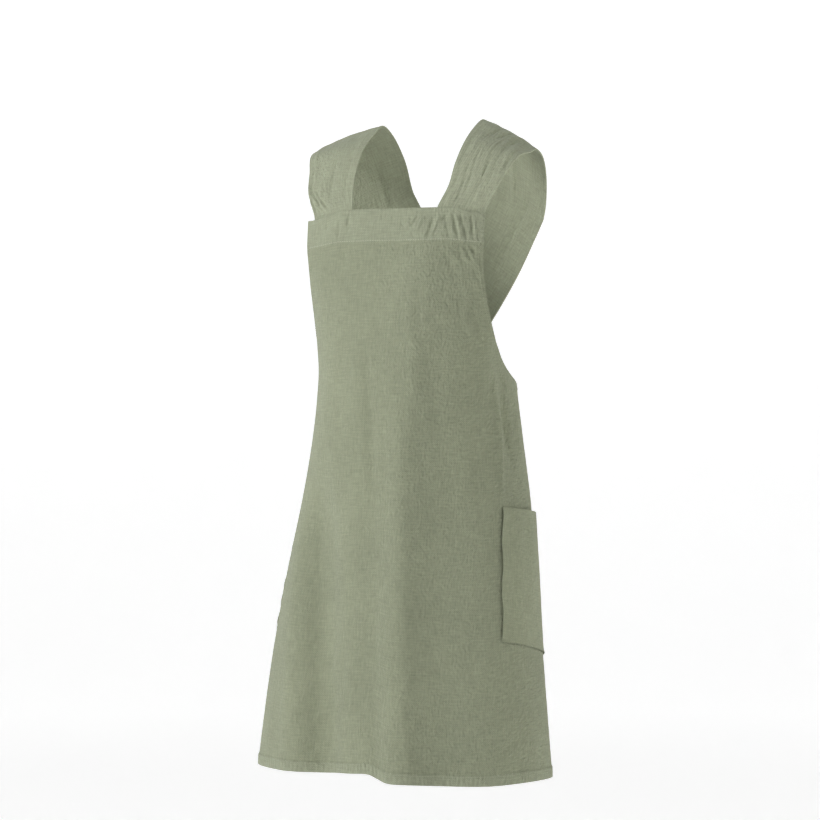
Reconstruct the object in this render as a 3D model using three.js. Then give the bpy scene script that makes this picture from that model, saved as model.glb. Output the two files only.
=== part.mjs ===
// A cross back apron as it hangs when worn: one wrapped panel, a sewn band along the bib,
// two wide straps that are gathered into the band and cross behind, a turned hem and two
// patch pockets. Each piece is a closed wall of cloth.
//
// Lengths are millimetres and angles degrees. X points to the wearer's left, -Y to the front
// and Z up. The origin is on the shoulder line, midway between the straps.
import * as THREE from "three";

// Form of the hanging cloth
const apronLength = 929; // shoulder line down to the hem's lower edge
const hemHalfWidth = 223; // half the width across the hem
const hemFront = 217; // hem's reach in front of the shoulder line
const waistBack = 80; // waist's reach behind the shoulder line
const bibWidth = 287; // bib's top, straight across from end to end
const bibShift = -3; // how far the bib hangs to one side of the middle plane, left if positive
const bibDrop = 109; // shoulder line down to the bib's top edge
const armholeDrop = 425; // shoulder line down to the back corners
const cornerOpening = 80; // gap between the back corners
const hemOpening = 116; // gap between the back edges at the hem
const hemRise = 14.5; // how much the hem rides up in its highest place
const foldDepth = 13; // deepest soft fold

// Cloth and sewing
const clothThickness = 1.1;
const bandThickness = 1.8; // two layers
const strapThickness = 1.8; // two layers
const hemThickness = 2.4; // the turned edge is three layers
const bandHeight = 48;
const hemHeight = 15;
const gatherDepth = 1.8; // gathers at the left end of the band
const rightGathers = 0.4; // depth of the gathers at the right end, as a share of the left's
const seamGap = 0.3; // clearance between pieces that are sewn edge to edge
const layGap = 0.4; // clearance between pieces that lie on each other
const wingGap = 0.7; // clearance between a strap and the wing it is sewn behind

// Straps
const strapWidth = 100;
const strapFrontWidth = 70; // gathered into the band
const strapBackWidth = 94; // sewn inside the back corner
const strapEndMargin = 1.5; // from the end of the band, or the back edge, to the strap
const strapTuck = 26; // how far each end reaches behind the cloth it is sewn to
const tuckShares = [1, 0.5, 0.04]; // stations behind the band, as shares of strapTuck
const shoulderSpan = 261; // between the middles of the straps on the shoulders
const strapForward = 93; // reach of the straps where they meet the bib, in front of the origin
const strapFall = 109; // fall of the straps from the shoulder line to the bib's top edge
const strapBehind = 94; // reach of the straps behind the origin, high on the back
const backFall = 98; // fall to that place
const backAcross = 112; // distance of the strap's middle from the middle plane at that place
const backTurn = 0.62; // where the strap turns towards the crossing, as a share of backAcross
const strapLean = 34; // slope of the strap's width where it crosses the back
const strapBulge = 3; // rise of the middle of the strap over its edges
const crossGap = 0.7; // clearance between the straps where they cross

// Pockets
const pocketWidth = 172;
const pocketHeight = 190;
const pocketDrop = 539; // shoulder line down to the pocket's front top corner
const mouthTilt = 6; // slope of the mouth, down towards the back
const baseTilt = 12; // slope of the lower edge
const pocketGape = 5; // how far the mouth stands open in its middle
const pocketRadius = 187; // radius of the skirt where the pockets lie

// How finely the curved walls are divided
const middleColumns = 32;
const sideColumns = 14;
const bibRows = 6;
const skirtRows = 18;
const strapColumns = 12;
const rowsPerStation = 2;
const backRows = 15;
const pocketColumns = 14;
const pocketRows = 10;

// The bib's top corners: how far each hangs below the middle, and where the droop starts as
// a share of the way to the end.
const leftCorner = { fall: 9, start: 0.72 };
const rightCorner = { fall: 14, start: 0.6 };

// The straps. The upper one passes over the other where they cross. lean is a share of the
// leans in overShoulder, and lift how much higher the strap lies on the shoulder.
const straps = [
  { name: "strap_left", side: 1, upper: true, lean: 1.0, lift: 0 },
  { name: "strap_right", side: -1, upper: false, lean: 0.6, lift: 5.5 },
];

// The pockets: side is 1 on the wearer's left, and angle is the direction of the pocket's
// front edge from straight ahead.
const pockets = [
  { name: "pocket_left", side: 1, angle: 70.5 },
  { name: "pocket_right", side: -1, angle: 78 },
];

// Level sections of the hanging cloth. down is a share of apronLength and half of
// hemHalfWidth; middle (the widest place) and front are shares of hemFront, and back of
// waistBack. square is 2 for an ellipse and more for a fuller corner.
const sections = [
  { down: 0.1, half: 0.915, middle: 0.0, front: 0.462, back: 1.25, square: 3.0 },
  { down: 0.171, half: 0.83, middle: 0.018, front: 0.516, back: 1.25, square: 3.0 },
  { down: 0.236, half: 0.735, middle: 0.055, front: 0.571, back: 1.22, square: 2.8 },
  { down: 0.284, half: 0.691, middle: 0.069, front: 0.608, back: 1.15, square: 2.6 },
  { down: 0.332, half: 0.664, middle: 0.074, front: 0.645, back: 1.06, square: 2.5 },
  { down: 0.378, half: 0.65, middle: 0.078, front: 0.677, back: 1.0, square: 2.4 },
  { down: 0.472, half: 0.698, middle: 0.065, front: 0.714, back: 0.99, square: 2.3 },
  { down: 0.566, half: 0.762, middle: 0.09, front: 0.748, back: 1.03, square: 2.25 },
  { down: 0.662, half: 0.826, middle: 0.166, front: 0.806, back: 1.05, square: 2.2 },
  { down: 0.756, half: 0.879, middle: 0.23, front: 0.868, back: 1.03, square: 2.2 },
  { down: 0.85, half: 0.932, middle: 0.265, front: 0.922, back: 0.99, square: 2.2 },
  { down: 1.0, half: 1.0, middle: 0.304, front: 1.0, back: 0.95, square: 2.2 },
];

// The armhole's edge, from the band (down 0, round 0) to the back corner (1, 1): down is a
// share of the fall between them and round of the turn. The wings start at the row underarm.
const armhole = [
  { down: 0.0, round: 0.0 },
  { down: 0.12, round: 0.006 },
  { down: 0.27, round: 0.04 },
  { down: 0.37, round: 0.068 },
  { down: 0.47, round: 0.107 },
  { down: 0.56, round: 0.16, underarm: true },
  { down: 0.63, round: 0.22 },
  { down: 0.69, round: 0.295 },
  { down: 0.74, round: 0.395 },
  { down: 0.785, round: 0.52 },
  { down: 0.83, round: 0.655 },
  { down: 0.88, round: 0.79 },
  { down: 0.935, round: 0.91 },
  { down: 1.0, round: 1.0 },
];

// Soft vertical folds. high and low are the fold's direction at the waist and at the hem;
// from and to are where it grows, and end where it has died away, as shares of apronLength (2
// is never). depth is a share of foldDepth, outwards if positive, and spread its half width.
const waist = 0.4;
const fadeAbove = 0.08;
const folds = [
  { high: 13, low: 22, from: 0.3, to: 0.8, end: 2, depth: 0.65, spread: 9 },
  { high: -40, low: -23, from: 0.42, to: 0.85, end: 2, depth: -0.65, spread: 9 },
  { high: -60, low: -40, from: 0.5, to: 0.9, end: 2, depth: 0.35, spread: 8 },
  { high: 34, low: 44, from: 0.3, to: 0.9, end: 2, depth: -0.4, spread: 14 },
  { high: 72, low: 70, from: 0.38, to: 0.46, end: 0.55, depth: 0.22, spread: 4 },
  { high: 80, low: 79, from: 0.38, to: 0.46, end: 0.54, depth: -0.3, spread: 5 },
  { high: -76, low: -62, from: 0.38, to: 0.9, end: 2, depth: 0.1, spread: 10 },
  { high: 120, low: 134, from: 0.6, to: 1.0, end: 2, depth: 0.6, spread: 9 },
  { high: -122, low: -112, from: 0.6, to: 1.0, end: 2, depth: 0.5, spread: 10 },
  { high: 140, low: 151, from: 0.56, to: 0.95, end: 2, depth: -0.5, spread: 7 },
  { high: -138, low: -140, from: 0.56, to: 0.95, end: 2, depth: -0.7, spread: 9 },
];

// Gathers at each end of the bib. at and spread are shares of the half bib, measured from
// its end; slant is how far the gather runs sideways down the band, depth a share of
// gatherDepth, and below its reach under the band as a share of bandHeight.
const gathers = [
  { at: 0.07, spread: 0.025, slant: 0.0, depth: 0.6, below: 0.5 },
  { at: 0.15, spread: 0.028, slant: -0.02, depth: 1.0, below: 0.9 },
  { at: 0.24, spread: 0.03, slant: -0.05, depth: 0.7, below: 1.2 },
  { at: 0.34, spread: 0.03, slant: -0.04, depth: 1.0, below: 0.9 },
  { at: 0.46, spread: 0.035, slant: 0.03, depth: 0.6, below: 0.3 },
  { at: 0.6, spread: 0.04, slant: 0.09, depth: 0.7, below: 0.1 },
];

// How far the hem rides up, as a share of hemRise, by direction from straight ahead.
const hemLine = [
  { angle: -180, rise: 0.5 },
  { angle: -110, rise: 0.85 },
  { angle: -73, rise: 0.87 },
  { angle: -45, rise: 0.8 },
  { angle: -20, rise: 0.87 },
  { angle: -4, rise: 0.97 },
  { angle: 7, rise: 1.0 },
  { angle: 13, rise: 0.64 },
  { angle: 19, rise: 0.28 },
  { angle: 28, rise: 0.15 },
  { angle: 45, rise: 0.04 },
  { angle: 62, rise: 0.0 },
  { angle: 82, rise: 0.2 },
  { angle: 110, rise: 0.15 },
  { angle: 180, rise: 0.3 },
];

// The strap over the shoulder, from the bib backwards. across is a share of half the
// shoulderSpan, out of strapForward (or of strapBehind where it is negative), and down of
// strapFall; width is a share of strapWidth, lean the fall of its outer edge and turn how
// far that edge swings back.
const overShoulder = [
  { across: 0.88, out: 0.844, down: 0.748, width: 0.75, lean: 6, turn: 1 },
  { across: 0.927, out: 0.634, down: 0.45, width: 0.83, lean: 7, turn: 4 },
  { across: 0.969, out: 0.382, down: 0.21, width: 0.92, lean: 14, turn: 0 },
  { across: 0.985, out: 0.048, down: 0.066, width: 1.0, lean: 23, turn: 0 },
  { across: 0.985, out: -0.215, down: -0.018, width: 1.0, lean: 28, turn: -2 },
  { across: 0.975, out: -0.515, down: 0.09, width: 1.0, lean: 28, turn: -5 },
  { across: 0.94, out: -0.8, down: 0.4, width: 1.0, lean: 28, turn: -11 },
];

// Where the upper strap rises over the lower one, as shares of the way down the back.
const crossing = { riseFrom: 0.08, riseTo: 0.26, fallFrom: 0.74, fallTo: 0.92 };

const radians = THREE.MathUtils.degToRad;
const lerp = THREE.MathUtils.lerp;
const easeBetween = THREE.MathUtils.smoothstep;
const bell = (x) => Math.exp(-x * x);

// The value of one column of a table at x, on a smooth curve through its rows.
function readTable(table, key, column, x) {
  const last = table.length - 1;
  let i = 0;
  while (i < last - 1 && x > table[i + 1][key]) i++;
  const slopeAt = (k) => {
    const before = table[Math.max(k - 1, 0)];
    const after = table[Math.min(k + 1, last)];
    return (after[column] - before[column]) / (after[key] - before[key]);
  };
  const [low, high] = [table[i], table[i + 1]];
  const step = high[key] - low[key];
  const t = THREE.MathUtils.clamp((x - low[key]) / step, 0, 1);
  const [t2, t3] = [t * t, t * t * t];
  return (
    (2 * t3 - 3 * t2 + 1) * low[column] +
    (t3 - 2 * t2 + t) * step * slopeAt(i) +
    (3 * t2 - 2 * t3) * high[column] +
    (t3 - t2) * step * slopeAt(i + 1)
  );
}

// Half width, middle, depth ahead, depth behind and squareness of the section at a drop.
function sectionAt(drop) {
  const down = drop / apronLength;
  const read = (column) => readTable(sections, "down", column, down);
  const middle = -read("middle") * hemFront;
  return {
    half: read("half") * hemHalfWidth,
    middle,
    ahead: read("front") * hemFront + middle,
    behind: read("back") * waistBack - middle,
    square: read("square"),
  };
}

// A point of the level section at a drop, in a direction in degrees from straight ahead.
function sectionPoint(angle, drop) {
  const s = sectionAt(drop);
  const [sine, cosine] = [Math.sin(radians(angle)), Math.cos(radians(angle))];
  const depth = cosine >= 0 ? s.ahead : s.behind;
  const reach =
    ((Math.abs(sine) / s.half) ** s.square + (Math.abs(cosine) / depth) ** s.square) **
    (-1 / s.square);
  return [reach * sine, s.middle - reach * cosine];
}

// The direction in which the section at a drop is this far from the middle plane, ahead or
// behind, found by halving.
function angleAcross(across, drop, behind = false) {
  let [nearer, further] = [behind ? 180 : 0, 90];
  for (let i = 0; i < 40; i++) {
    const angle = (nearer + further) / 2;
    if (sectionPoint(angle, drop)[0] < across) nearer = angle;
    else further = angle;
  }
  return nearer;
}

const bandBottom = bibDrop + bandHeight;
const bibAngle = angleAcross(bibWidth / 2, bandBottom);
const cornerAngle = angleAcross(cornerOpening / 2, armholeDrop, true);

// The direction of the cloth's side edge at a drop: the bib's end, the armhole, or the back
// edge under the corner.
function edgeAngle(drop) {
  if (drop <= bandBottom) return angleAcross(bibWidth / 2, drop);
  if (drop < armholeDrop) {
    const down = (drop - bandBottom) / (armholeDrop - bandBottom);
    return lerp(bibAngle, cornerAngle, readTable(armhole, "down", "round", down));
  }
  const fall = (drop - armholeDrop) / (apronLength - armholeDrop);
  return angleAcross(lerp(cornerOpening, hemOpening, fall) / 2, drop, true);
}

// The drop of the armhole's edge in a direction.
function armholeDropAt(angle) {
  const round = (angle - bibAngle) / (cornerAngle - bibAngle);
  return lerp(bandBottom, armholeDrop, readTable(armhole, "round", "down", round));
}

// How far the folds push the cloth out at a direction and drop.
function foldHeight(angle, drop) {
  const down = drop / apronLength;
  let height = 0;
  for (const fold of folds) {
    const middle = lerp(fold.high, fold.low, (down - waist) / (1 - waist));
    const growth = easeBetween(down, fold.from, fold.to);
    const fade = 1 - easeBetween(down, fold.end - fadeAbove, fold.end);
    height += fold.depth * foldDepth * growth * fade * bell((angle - middle) / fold.spread);
  }
  return height;
}

// How far the gathers draw the cloth in, at a distance across from the middle plane.
function gatherHeight(across, drop) {
  const fromEnd = 1 - Math.abs(across) / (bibWidth / 2);
  const deepest = gatherDepth * (across > 0 ? 1 : rightGathers);
  const down = (drop - bibDrop) / bandHeight;
  let height = 0;
  for (const gather of gathers) {
    const place = (fromEnd - gather.at - gather.slant * (down - 0.5)) / gather.spread;
    const fade = 1 - easeBetween(down, 1 + gather.below * 0.4, 1 + gather.below);
    height -= gather.depth * deepest * fade * bell(place);
  }
  return height;
}

// How far the cloth hangs below its level row: the bib's corners droop and the hem rides up.
function hang(angle, drop) {
  const corner = angle > 0 ? leftCorner : rightCorner;
  const fade = Math.max(1 - (drop - bibDrop) / (2 * bandHeight), 0);
  const droop = corner.fall * fade * easeBetween(Math.abs(angle) / bibAngle, corner.start, 1);
  const rise = hemRise * readTable(hemLine, "angle", "rise", angle);
  return droop - rise * easeBetween(drop, armholeDrop, apronLength);
}

// The middle layer of the cloth in a direction and at a drop.
function clothMiddle(angle, drop, gathered) {
  const [x, y] = sectionPoint(angle, drop);
  const push = foldHeight(angle, drop) + (gathered ? gatherHeight(x, drop) : 0);
  const away = Math.hypot(x, y);
  const shift = bibShift * (1 - easeBetween(drop, bandBottom, underarmDrop));
  return new THREE.Vector3(
    x + (push * x) / away + shift,
    y + (push * y) / away,
    -drop - hang(angle, drop),
  );
}

// The outward normal of a surface given by two numbers, from its own small steps.
function surfaceNormal(surface, a, b, stepA, stepB) {
  const alongA = surface(a + stepA, b).sub(surface(a - stepA, b));
  const alongB = surface(a, b + stepB).sub(surface(a, b - stepB));
  return alongB.cross(alongA).normalize();
}

// A point of the cloth moved outwards by a distance from its middle layer.
function clothPoint(angle, drop, outwards, gathered = true) {
  const surface = (a, d) => clothMiddle(a, d, gathered);
  const normal = surfaceNormal(surface, angle, drop, 0.4, 0.5);
  return surface(angle, drop).addScaledVector(normal, outwards);
}

// A closed wall between two skins, each a grid of points: skin(row, column, outer). Cells of
// the grid for which present(row, column) is false are left out.
function clothWall(rows, columns, skin, present = () => true) {
  const positions = [];
  const index = [];
  const stride = columns + 1;
  const inner = (rows + 1) * stride;
  for (const outer of [true, false]) {
    for (let r = 0; r <= rows; r++) {
      for (let c = 0; c <= columns; c++) positions.push(...skin(r, c, outer).toArray());
    }
  }
  const filled = (r, c) => r >= 0 && c >= 0 && r < rows && c < columns && present(r, c);
  const quad = (a, b, c, d) => index.push(a, b, c, a, c, d);
  const rim = (a, b) => quad(b, a, inner + a, inner + b);
  for (let r = 0; r < rows; r++) {
    for (let c = 0; c < columns; c++) {
      if (!filled(r, c)) continue;
      const at = r * stride + c;
      const [right, below, across] = [at + 1, at + stride, at + stride + 1];
      quad(at, below, across, right);
      quad(inner + at, inner + right, inner + across, inner + below);
      if (!filled(r, c - 1)) rim(at, below);
      if (!filled(r + 1, c)) rim(below, across);
      if (!filled(r, c + 1)) rim(across, right);
      if (!filled(r - 1, c)) rim(right, at);
    }
  }
  const geometry = new THREE.BufferGeometry();
  geometry.setAttribute("position", new THREE.Float32BufferAttribute(positions, 3));
  geometry.setIndex(enclosedVolume(positions, index) > 0 ? index : index.reverse());
  geometry.computeVertexNormals();
  return geometry;
}

// The signed volume inside a mesh, negative if its faces point inwards.
function enclosedVolume(positions, index) {
  const corner = (i) => new THREE.Vector3().fromArray(positions, 3 * index[i]);
  let volume = 0;
  for (let i = 0; i < index.length; i += 3) {
    volume += corner(i).dot(corner(i + 1).cross(corner(i + 2))) / 6;
  }
  return volume;
}

const clothOuter = clothThickness / 2; // the outer face of the panel, the band and the hem
const underarmDrop = lerp(bandBottom, armholeDrop, armhole.find((row) => row.underarm).down);

// The direction of one column of the cloth's grid at a drop. The middle columns fill the bib
// and run on down to the hem; the side columns fill the wings behind the armholes.
function columnAngle(column, drop) {
  const fromMiddle = column - middleColumns / 2;
  const away = Math.abs(fromMiddle);
  const middleEdge = edgeAngle(Math.min(drop, underarmDrop));
  if (away <= middleColumns / 2) return (fromMiddle / middleColumns) * 2 * middleEdge;
  const beyond = (away - middleColumns / 2) / sideColumns;
  return Math.sign(fromMiddle) * lerp(middleEdge, edgeAngle(Math.max(drop, armholeDrop)), beyond);
}

// A wall that follows the cloth through a list of drops. Where wrapped is false it is only
// as wide as the bib.
function levelWall(drops, thickness, wrapped) {
  const aside = wrapped ? sideColumns : 0;
  return clothWall(drops.length - 1, middleColumns + 2 * aside, (r, c, outer) => {
    const out = outer ? clothOuter : clothOuter - thickness;
    return clothPoint(columnAngle(c - aside, drops[r]), drops[r], out);
  });
}

// Evenly spaced numbers from low to high.
const spaced = (low, high, steps) =>
  Array.from({ length: steps + 1 }, (_, i) => lerp(low, high, i / steps));

// The panel: the bib's rows are only as wide as the bib, and the rows under it start at the
// armhole's edge on either side.
function panel() {
  const bibDrops = spaced(bandBottom + seamGap, underarmDrop, bibRows);
  const hemTop = apronLength - hemHeight - seamGap;
  const skin = (r, c, outer) => {
    const column = c - sideColumns;
    const inBib = column >= 0 && column <= middleColumns;
    const wingTop = inBib ? underarmDrop : armholeDropAt(Math.abs(columnAngle(column, armholeDrop)));
    const drop = r < bibRows ? bibDrops[r] : lerp(wingTop, hemTop, (r - bibRows) / skirtRows);
    return clothPoint(columnAngle(column, drop), drop, outer ? clothOuter : -clothOuter);
  };
  const present = (r, c) => r >= bibRows || (c >= sideColumns && c < sideColumns + middleColumns);
  return clothWall(bibRows + skirtRows, middleColumns + 2 * sideColumns, skin, present);
}

const bibBand = () => levelWall(spaced(bibDrop, bandBottom, 3), bandThickness, false);
const hem = () => levelWall([apronLength - hemHeight, apronLength], hemThickness, true);

// A point on the back of the hanging form, where the straps lie, moved outwards.
function backPoint(across, drop, outwards) {
  const surface = (x, d) => {
    const s = sectionAt(d);
    const side = Math.min(Math.abs(x) / s.half, 0.99);
    const reach = s.middle + s.behind * (1 - side ** s.square) ** (1 / s.square);
    return new THREE.Vector3(x, reach, -d);
  };
  const normal = surfaceNormal(surface, across, drop, 0.5, 0.5).negate();
  return surface(across, drop).addScaledVector(normal, outwards);
}

const strapInset = clothOuter - clothThickness - wingGap - strapThickness / 2;
const bandInset = clothOuter - bandThickness - gatherDepth - layGap - strapThickness / 2;
const archRows = (tuckShares.length + overShoulder.length) * rowsPerStation;

// The next functions give points of the left strap's middle layer. across runs from 0 at its
// inner edge to 1 at its outer edge. First, a point behind the band, a distance under its top.
function strapBehindBand(tuck, across) {
  const fromMiddle = bibWidth / 2 - strapEndMargin - (1 - across) * strapFrontWidth;
  const drop = bibDrop + tuck;
  return clothPoint(angleAcross(fromMiddle, drop), drop, bandInset, false);
}

// A point of one station over the shoulder.
function strapOverShoulder(strap, station, across) {
  const reach = station.out * (station.out > 0 ? strapForward : strapBehind);
  const lift = strap.lift * (1 - Math.max(station.down, 0)) ** 2;
  const [lean, turn] = [radians(station.lean * strap.lean), radians(station.turn)];
  const width = new THREE.Vector3(
    Math.cos(lean) * Math.cos(turn),
    Math.sin(turn),
    -Math.sin(lean),
  );
  return new THREE.Vector3(
    (station.across * shoulderSpan) / 2,
    -reach,
    lift - station.down * strapFall,
  ).addScaledVector(width, (across - 0.5) * station.width * strapWidth);
}

// The middle of the strap's width down the back, at a share of the way from high on its own
// side to its end inside the other back corner: its distance across, drop and width.
function strapBackLine(share) {
  const lean = radians(strapLean);
  const [cosine, sine] = [Math.cos(lean), Math.sin(lean)];
  const cornerX = -(cornerOpening / 2 + strapEndMargin + (strapBackWidth * cosine) / 2);
  const cornerDrop = armholeDrop - (strapBackWidth * sine) / 2;
  const crossDrop = cornerDrop + (cornerX * cosine) / sine;
  const turnX = backTurn * backAcross;
  const bend = new THREE.QuadraticBezierCurve(
    new THREE.Vector2(backAcross, backFall),
    new THREE.Vector2(turnX, crossDrop - (turnX * cosine) / sine),
    new THREE.Vector2(0, crossDrop),
  );
  if (share < 0.5) return [...bend.getPoint(share * 2).toArray(), strapWidth];
  const t = share * 2 - 1;
  return [
    lerp(0, cornerX - strapTuck * sine, t),
    lerp(crossDrop, cornerDrop + strapTuck * cosine, t),
    lerp(strapWidth, strapBackWidth, t),
  ];
}

// A point down the back. The upper strap is lifted where it passes over the lower one.
function strapBack(strap, share, across) {
  const [x, drop, width] = strapBackLine(share);
  const topLean = overShoulder.at(-1).lean;
  const lean = radians(lerp(topLean, strapLean, easeBetween(share, 0, 0.4)));
  const fromMiddle = (across - 0.5) * width;
  const rise = easeBetween(share, crossing.riseFrom, crossing.riseTo);
  const fall = easeBetween(share, crossing.fallFrom, crossing.fallTo);
  const lift = strap.upper ? (strapThickness + crossGap) * rise * (1 - fall) : 0;
  return backPoint(
    x + fromMiddle * Math.cos(lean),
    drop + fromMiddle * Math.sin(lean),
    strapInset + lift,
  );
}

// A point in one row of the strap's grid.
function strapMiddle(strap, row, across) {
  if (row >= archRows) return strapBack(strap, (row - archRows) / backRows, across);
  const stations = [
    ...tuckShares.map((share) => strapBehindBand(share * strapTuck, across)),
    ...overShoulder.map((station) => strapOverShoulder(strap, station, across)),
    strapBack(strap, 0, across),
    strapBack(strap, rowsPerStation / backRows, across),
  ];
  const arch = new THREE.CatmullRomCurve3(stations, false, "centripetal");
  return arch.getPoint(row / rowsPerStation / (stations.length - 1));
}

// How far the middle of the strap stands above its edges.
function strapCrown(row, across) {
  const tuckRows = tuckShares.length * rowsPerStation;
  const grown = easeBetween(row, tuckRows - 2, tuckRows + 4);
  const fallen = easeBetween(row, archRows - 4, archRows);
  return strapBulge * grown * (1 - fallen) * (1 - (2 * across - 1) ** 2);
}

// One strap, made for the wearer's left and mirrored for the right.
function strapWall(strap) {
  const rows = archRows + backRows;
  const clamp = THREE.MathUtils.clamp;
  const surface = (row, across) => strapMiddle(strap, clamp(row, 0, rows), clamp(across, 0, 1));
  return clothWall(rows, strapColumns, (r, c, outer) => {
    const across = c / strapColumns;
    const normal = surfaceNormal(surface, r, across, 0.25, 0.04).negate();
    const out = strapCrown(r, across) + (outer ? strapThickness : -strapThickness) / 2;
    const point = surface(r, across).addScaledVector(normal, out);
    point.x *= strap.side;
    return point;
  });
}

// A patch pocket that lies on the panel, with its mouth standing open.
function pocket({ side, angle }) {
  const turn = (180 / Math.PI) * (pocketWidth / pocketRadius);
  return clothWall(pocketRows, pocketColumns, (r, c, outer) => {
    const [down, across] = [r / pocketRows, c / pocketColumns];
    const slope = Math.tan(radians(lerp(mouthTilt, baseTilt, down)));
    const drop = pocketDrop + down * pocketHeight + across * pocketWidth * slope;
    const gape = pocketGape * (1 - down) * Math.sin(Math.PI * across);
    const out = clothOuter + layGap + gape + (outer ? clothThickness : 0);
    return clothPoint(side * (angle + across * turn), drop, out);
  });
}

// Materials, one for each kind of cloth
const sage = (colour) =>
  new THREE.MeshStandardMaterial({ color: colour, roughness: 0.92, metalness: 0 });
const panelCloth = sage("#969b84");
const doubleCloth = sage("#9a9f87");
const pocketCloth = sage("#8f957c");

const apron = new THREE.Group();
apron.name = "cross_back_apron";
const pieces = [
  ["panel", panel(), panelCloth],
  ["bib_band", bibBand(), doubleCloth],
  ["hem", hem(), doubleCloth],
  ...straps.map((strap) => [strap.name, strapWall(strap), doubleCloth]),
  ...pockets.map((patch) => [patch.name, pocket(patch), pocketCloth]),
];
for (const [name, geometry, material] of pieces) {
  const mesh = new THREE.Mesh(geometry, material);
  mesh.name = name;
  apron.add(mesh);
}

export default apron;
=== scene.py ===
"""A cross back apron in washed linen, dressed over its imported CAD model.

The cloth follows the same form as the CAD part, from the same measures, with the creases,
gathers, puckers and stitches that the solids leave out. Lengths are millimetres and angles
degrees until a mesh is made, and metres after that. X points to the wearer's left, -Y to
the front and Z up.
"""

import math

import bpy
import numpy as np
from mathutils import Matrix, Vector


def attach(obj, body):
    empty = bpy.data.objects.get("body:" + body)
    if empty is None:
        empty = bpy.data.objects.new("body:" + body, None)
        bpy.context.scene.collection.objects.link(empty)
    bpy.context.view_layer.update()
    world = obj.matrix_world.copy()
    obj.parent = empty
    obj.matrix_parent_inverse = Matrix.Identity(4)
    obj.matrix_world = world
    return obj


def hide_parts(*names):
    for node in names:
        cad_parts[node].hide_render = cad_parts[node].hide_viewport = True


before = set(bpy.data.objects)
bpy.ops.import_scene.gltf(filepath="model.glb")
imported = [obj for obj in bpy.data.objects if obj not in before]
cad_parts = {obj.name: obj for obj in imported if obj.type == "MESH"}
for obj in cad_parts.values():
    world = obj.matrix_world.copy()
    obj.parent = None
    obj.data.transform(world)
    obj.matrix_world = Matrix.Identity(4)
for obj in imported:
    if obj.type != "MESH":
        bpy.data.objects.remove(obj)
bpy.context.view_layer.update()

bl_info = {
    "name": "Cross back apron",
    "version": (1, 0, 0),
    "blender": (4, 5, 0),
    "location": "View3D > Sidebar > Apron",
    "description": "Makes a washed linen cross back apron, its stitching and a plain studio",
    "category": "Add Mesh",
}

# Form of the hanging cloth, in millimetres and degrees, as the CAD part has it
APRON_LENGTH = 929  # shoulder line down to the hem's lower edge
HEM_HALF_WIDTH = 223
HEM_FRONT = 217
WAIST_BACK = 80
BIB_WIDTH = 287
BIB_SHIFT = -3
BIB_DROP = 109
ARMHOLE_DROP = 425
CORNER_OPENING = 80
HEM_OPENING = 116
HEM_RISE = 14.5
FOLD_DEPTH = 13
CLOTH = 1.1
BAND = 1.8
STRAP = 1.8
HEM = 2.4
BAND_HEIGHT = 48
HEM_HEIGHT = 15
GATHER_DEPTH = 1.8  # room behind the band for the gathers of the CAD part
LAY_GAP = 0.4
WING_GAP = 0.7
STRAP_WIDTH = 100
STRAP_FRONT_WIDTH = 70
STRAP_BACK_WIDTH = 94
STRAP_END_MARGIN = 1.5
STRAP_TUCK = 26
TUCK_SHARES = (1, 0.5, 0.04)
SHOULDER_SPAN = 261
STRAP_FORWARD = 93
STRAP_FALL = 109
STRAP_BEHIND = 94
BACK_FALL = 98
BACK_ACROSS = 112
BACK_TURN = 0.62
STRAP_LEAN = 34
STRAP_BULGE = 3
CROSS_GAP = 0.7
POCKET_WIDTH = 172
POCKET_HEIGHT = 190
POCKET_DROP = 539
MOUTH_TILT = 6
BASE_TILT = 12
POCKET_GAPE = 5
POCKET_RADIUS = 187
WAIST = 0.4
FADE_ABOVE = 0.08

# Fall and start of the droop at the bib's top corners
LEFT_CORNER = (9, 0.72)
RIGHT_CORNER = (14, 0.6)

# Level sections: share of the length, half width, middle, front, back, squareness
SECTIONS = np.array([
    (0.1, 0.915, 0.0, 0.462, 1.25, 3.0),
    (0.171, 0.83, 0.018, 0.516, 1.25, 3.0),
    (0.236, 0.735, 0.055, 0.571, 1.22, 2.8),
    (0.284, 0.691, 0.069, 0.608, 1.15, 2.6),
    (0.332, 0.664, 0.074, 0.645, 1.06, 2.5),
    (0.378, 0.65, 0.078, 0.677, 1.0, 2.4),
    (0.472, 0.698, 0.065, 0.714, 0.99, 2.3),
    (0.566, 0.762, 0.09, 0.748, 1.03, 2.25),
    (0.662, 0.826, 0.166, 0.806, 1.05, 2.2),
    (0.756, 0.879, 0.23, 0.868, 1.03, 2.2),
    (0.85, 0.932, 0.265, 0.922, 0.99, 2.2),
    (1.0, 1.0, 0.304, 1.0, 0.95, 2.2),
])

# The armhole's edge, as shares of its fall and of its turn, and its row at the underarm
UNDERARM_ROW = 5
ARMHOLE = np.array([
    (0.0, 0.0),
    (0.12, 0.006),
    (0.27, 0.04),
    (0.37, 0.068),
    (0.47, 0.107),
    (0.56, 0.16),
    (0.63, 0.22),
    (0.69, 0.295),
    (0.74, 0.395),
    (0.785, 0.52),
    (0.83, 0.655),
    (0.88, 0.79),
    (0.935, 0.91),
    (1.0, 1.0),
])

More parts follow.
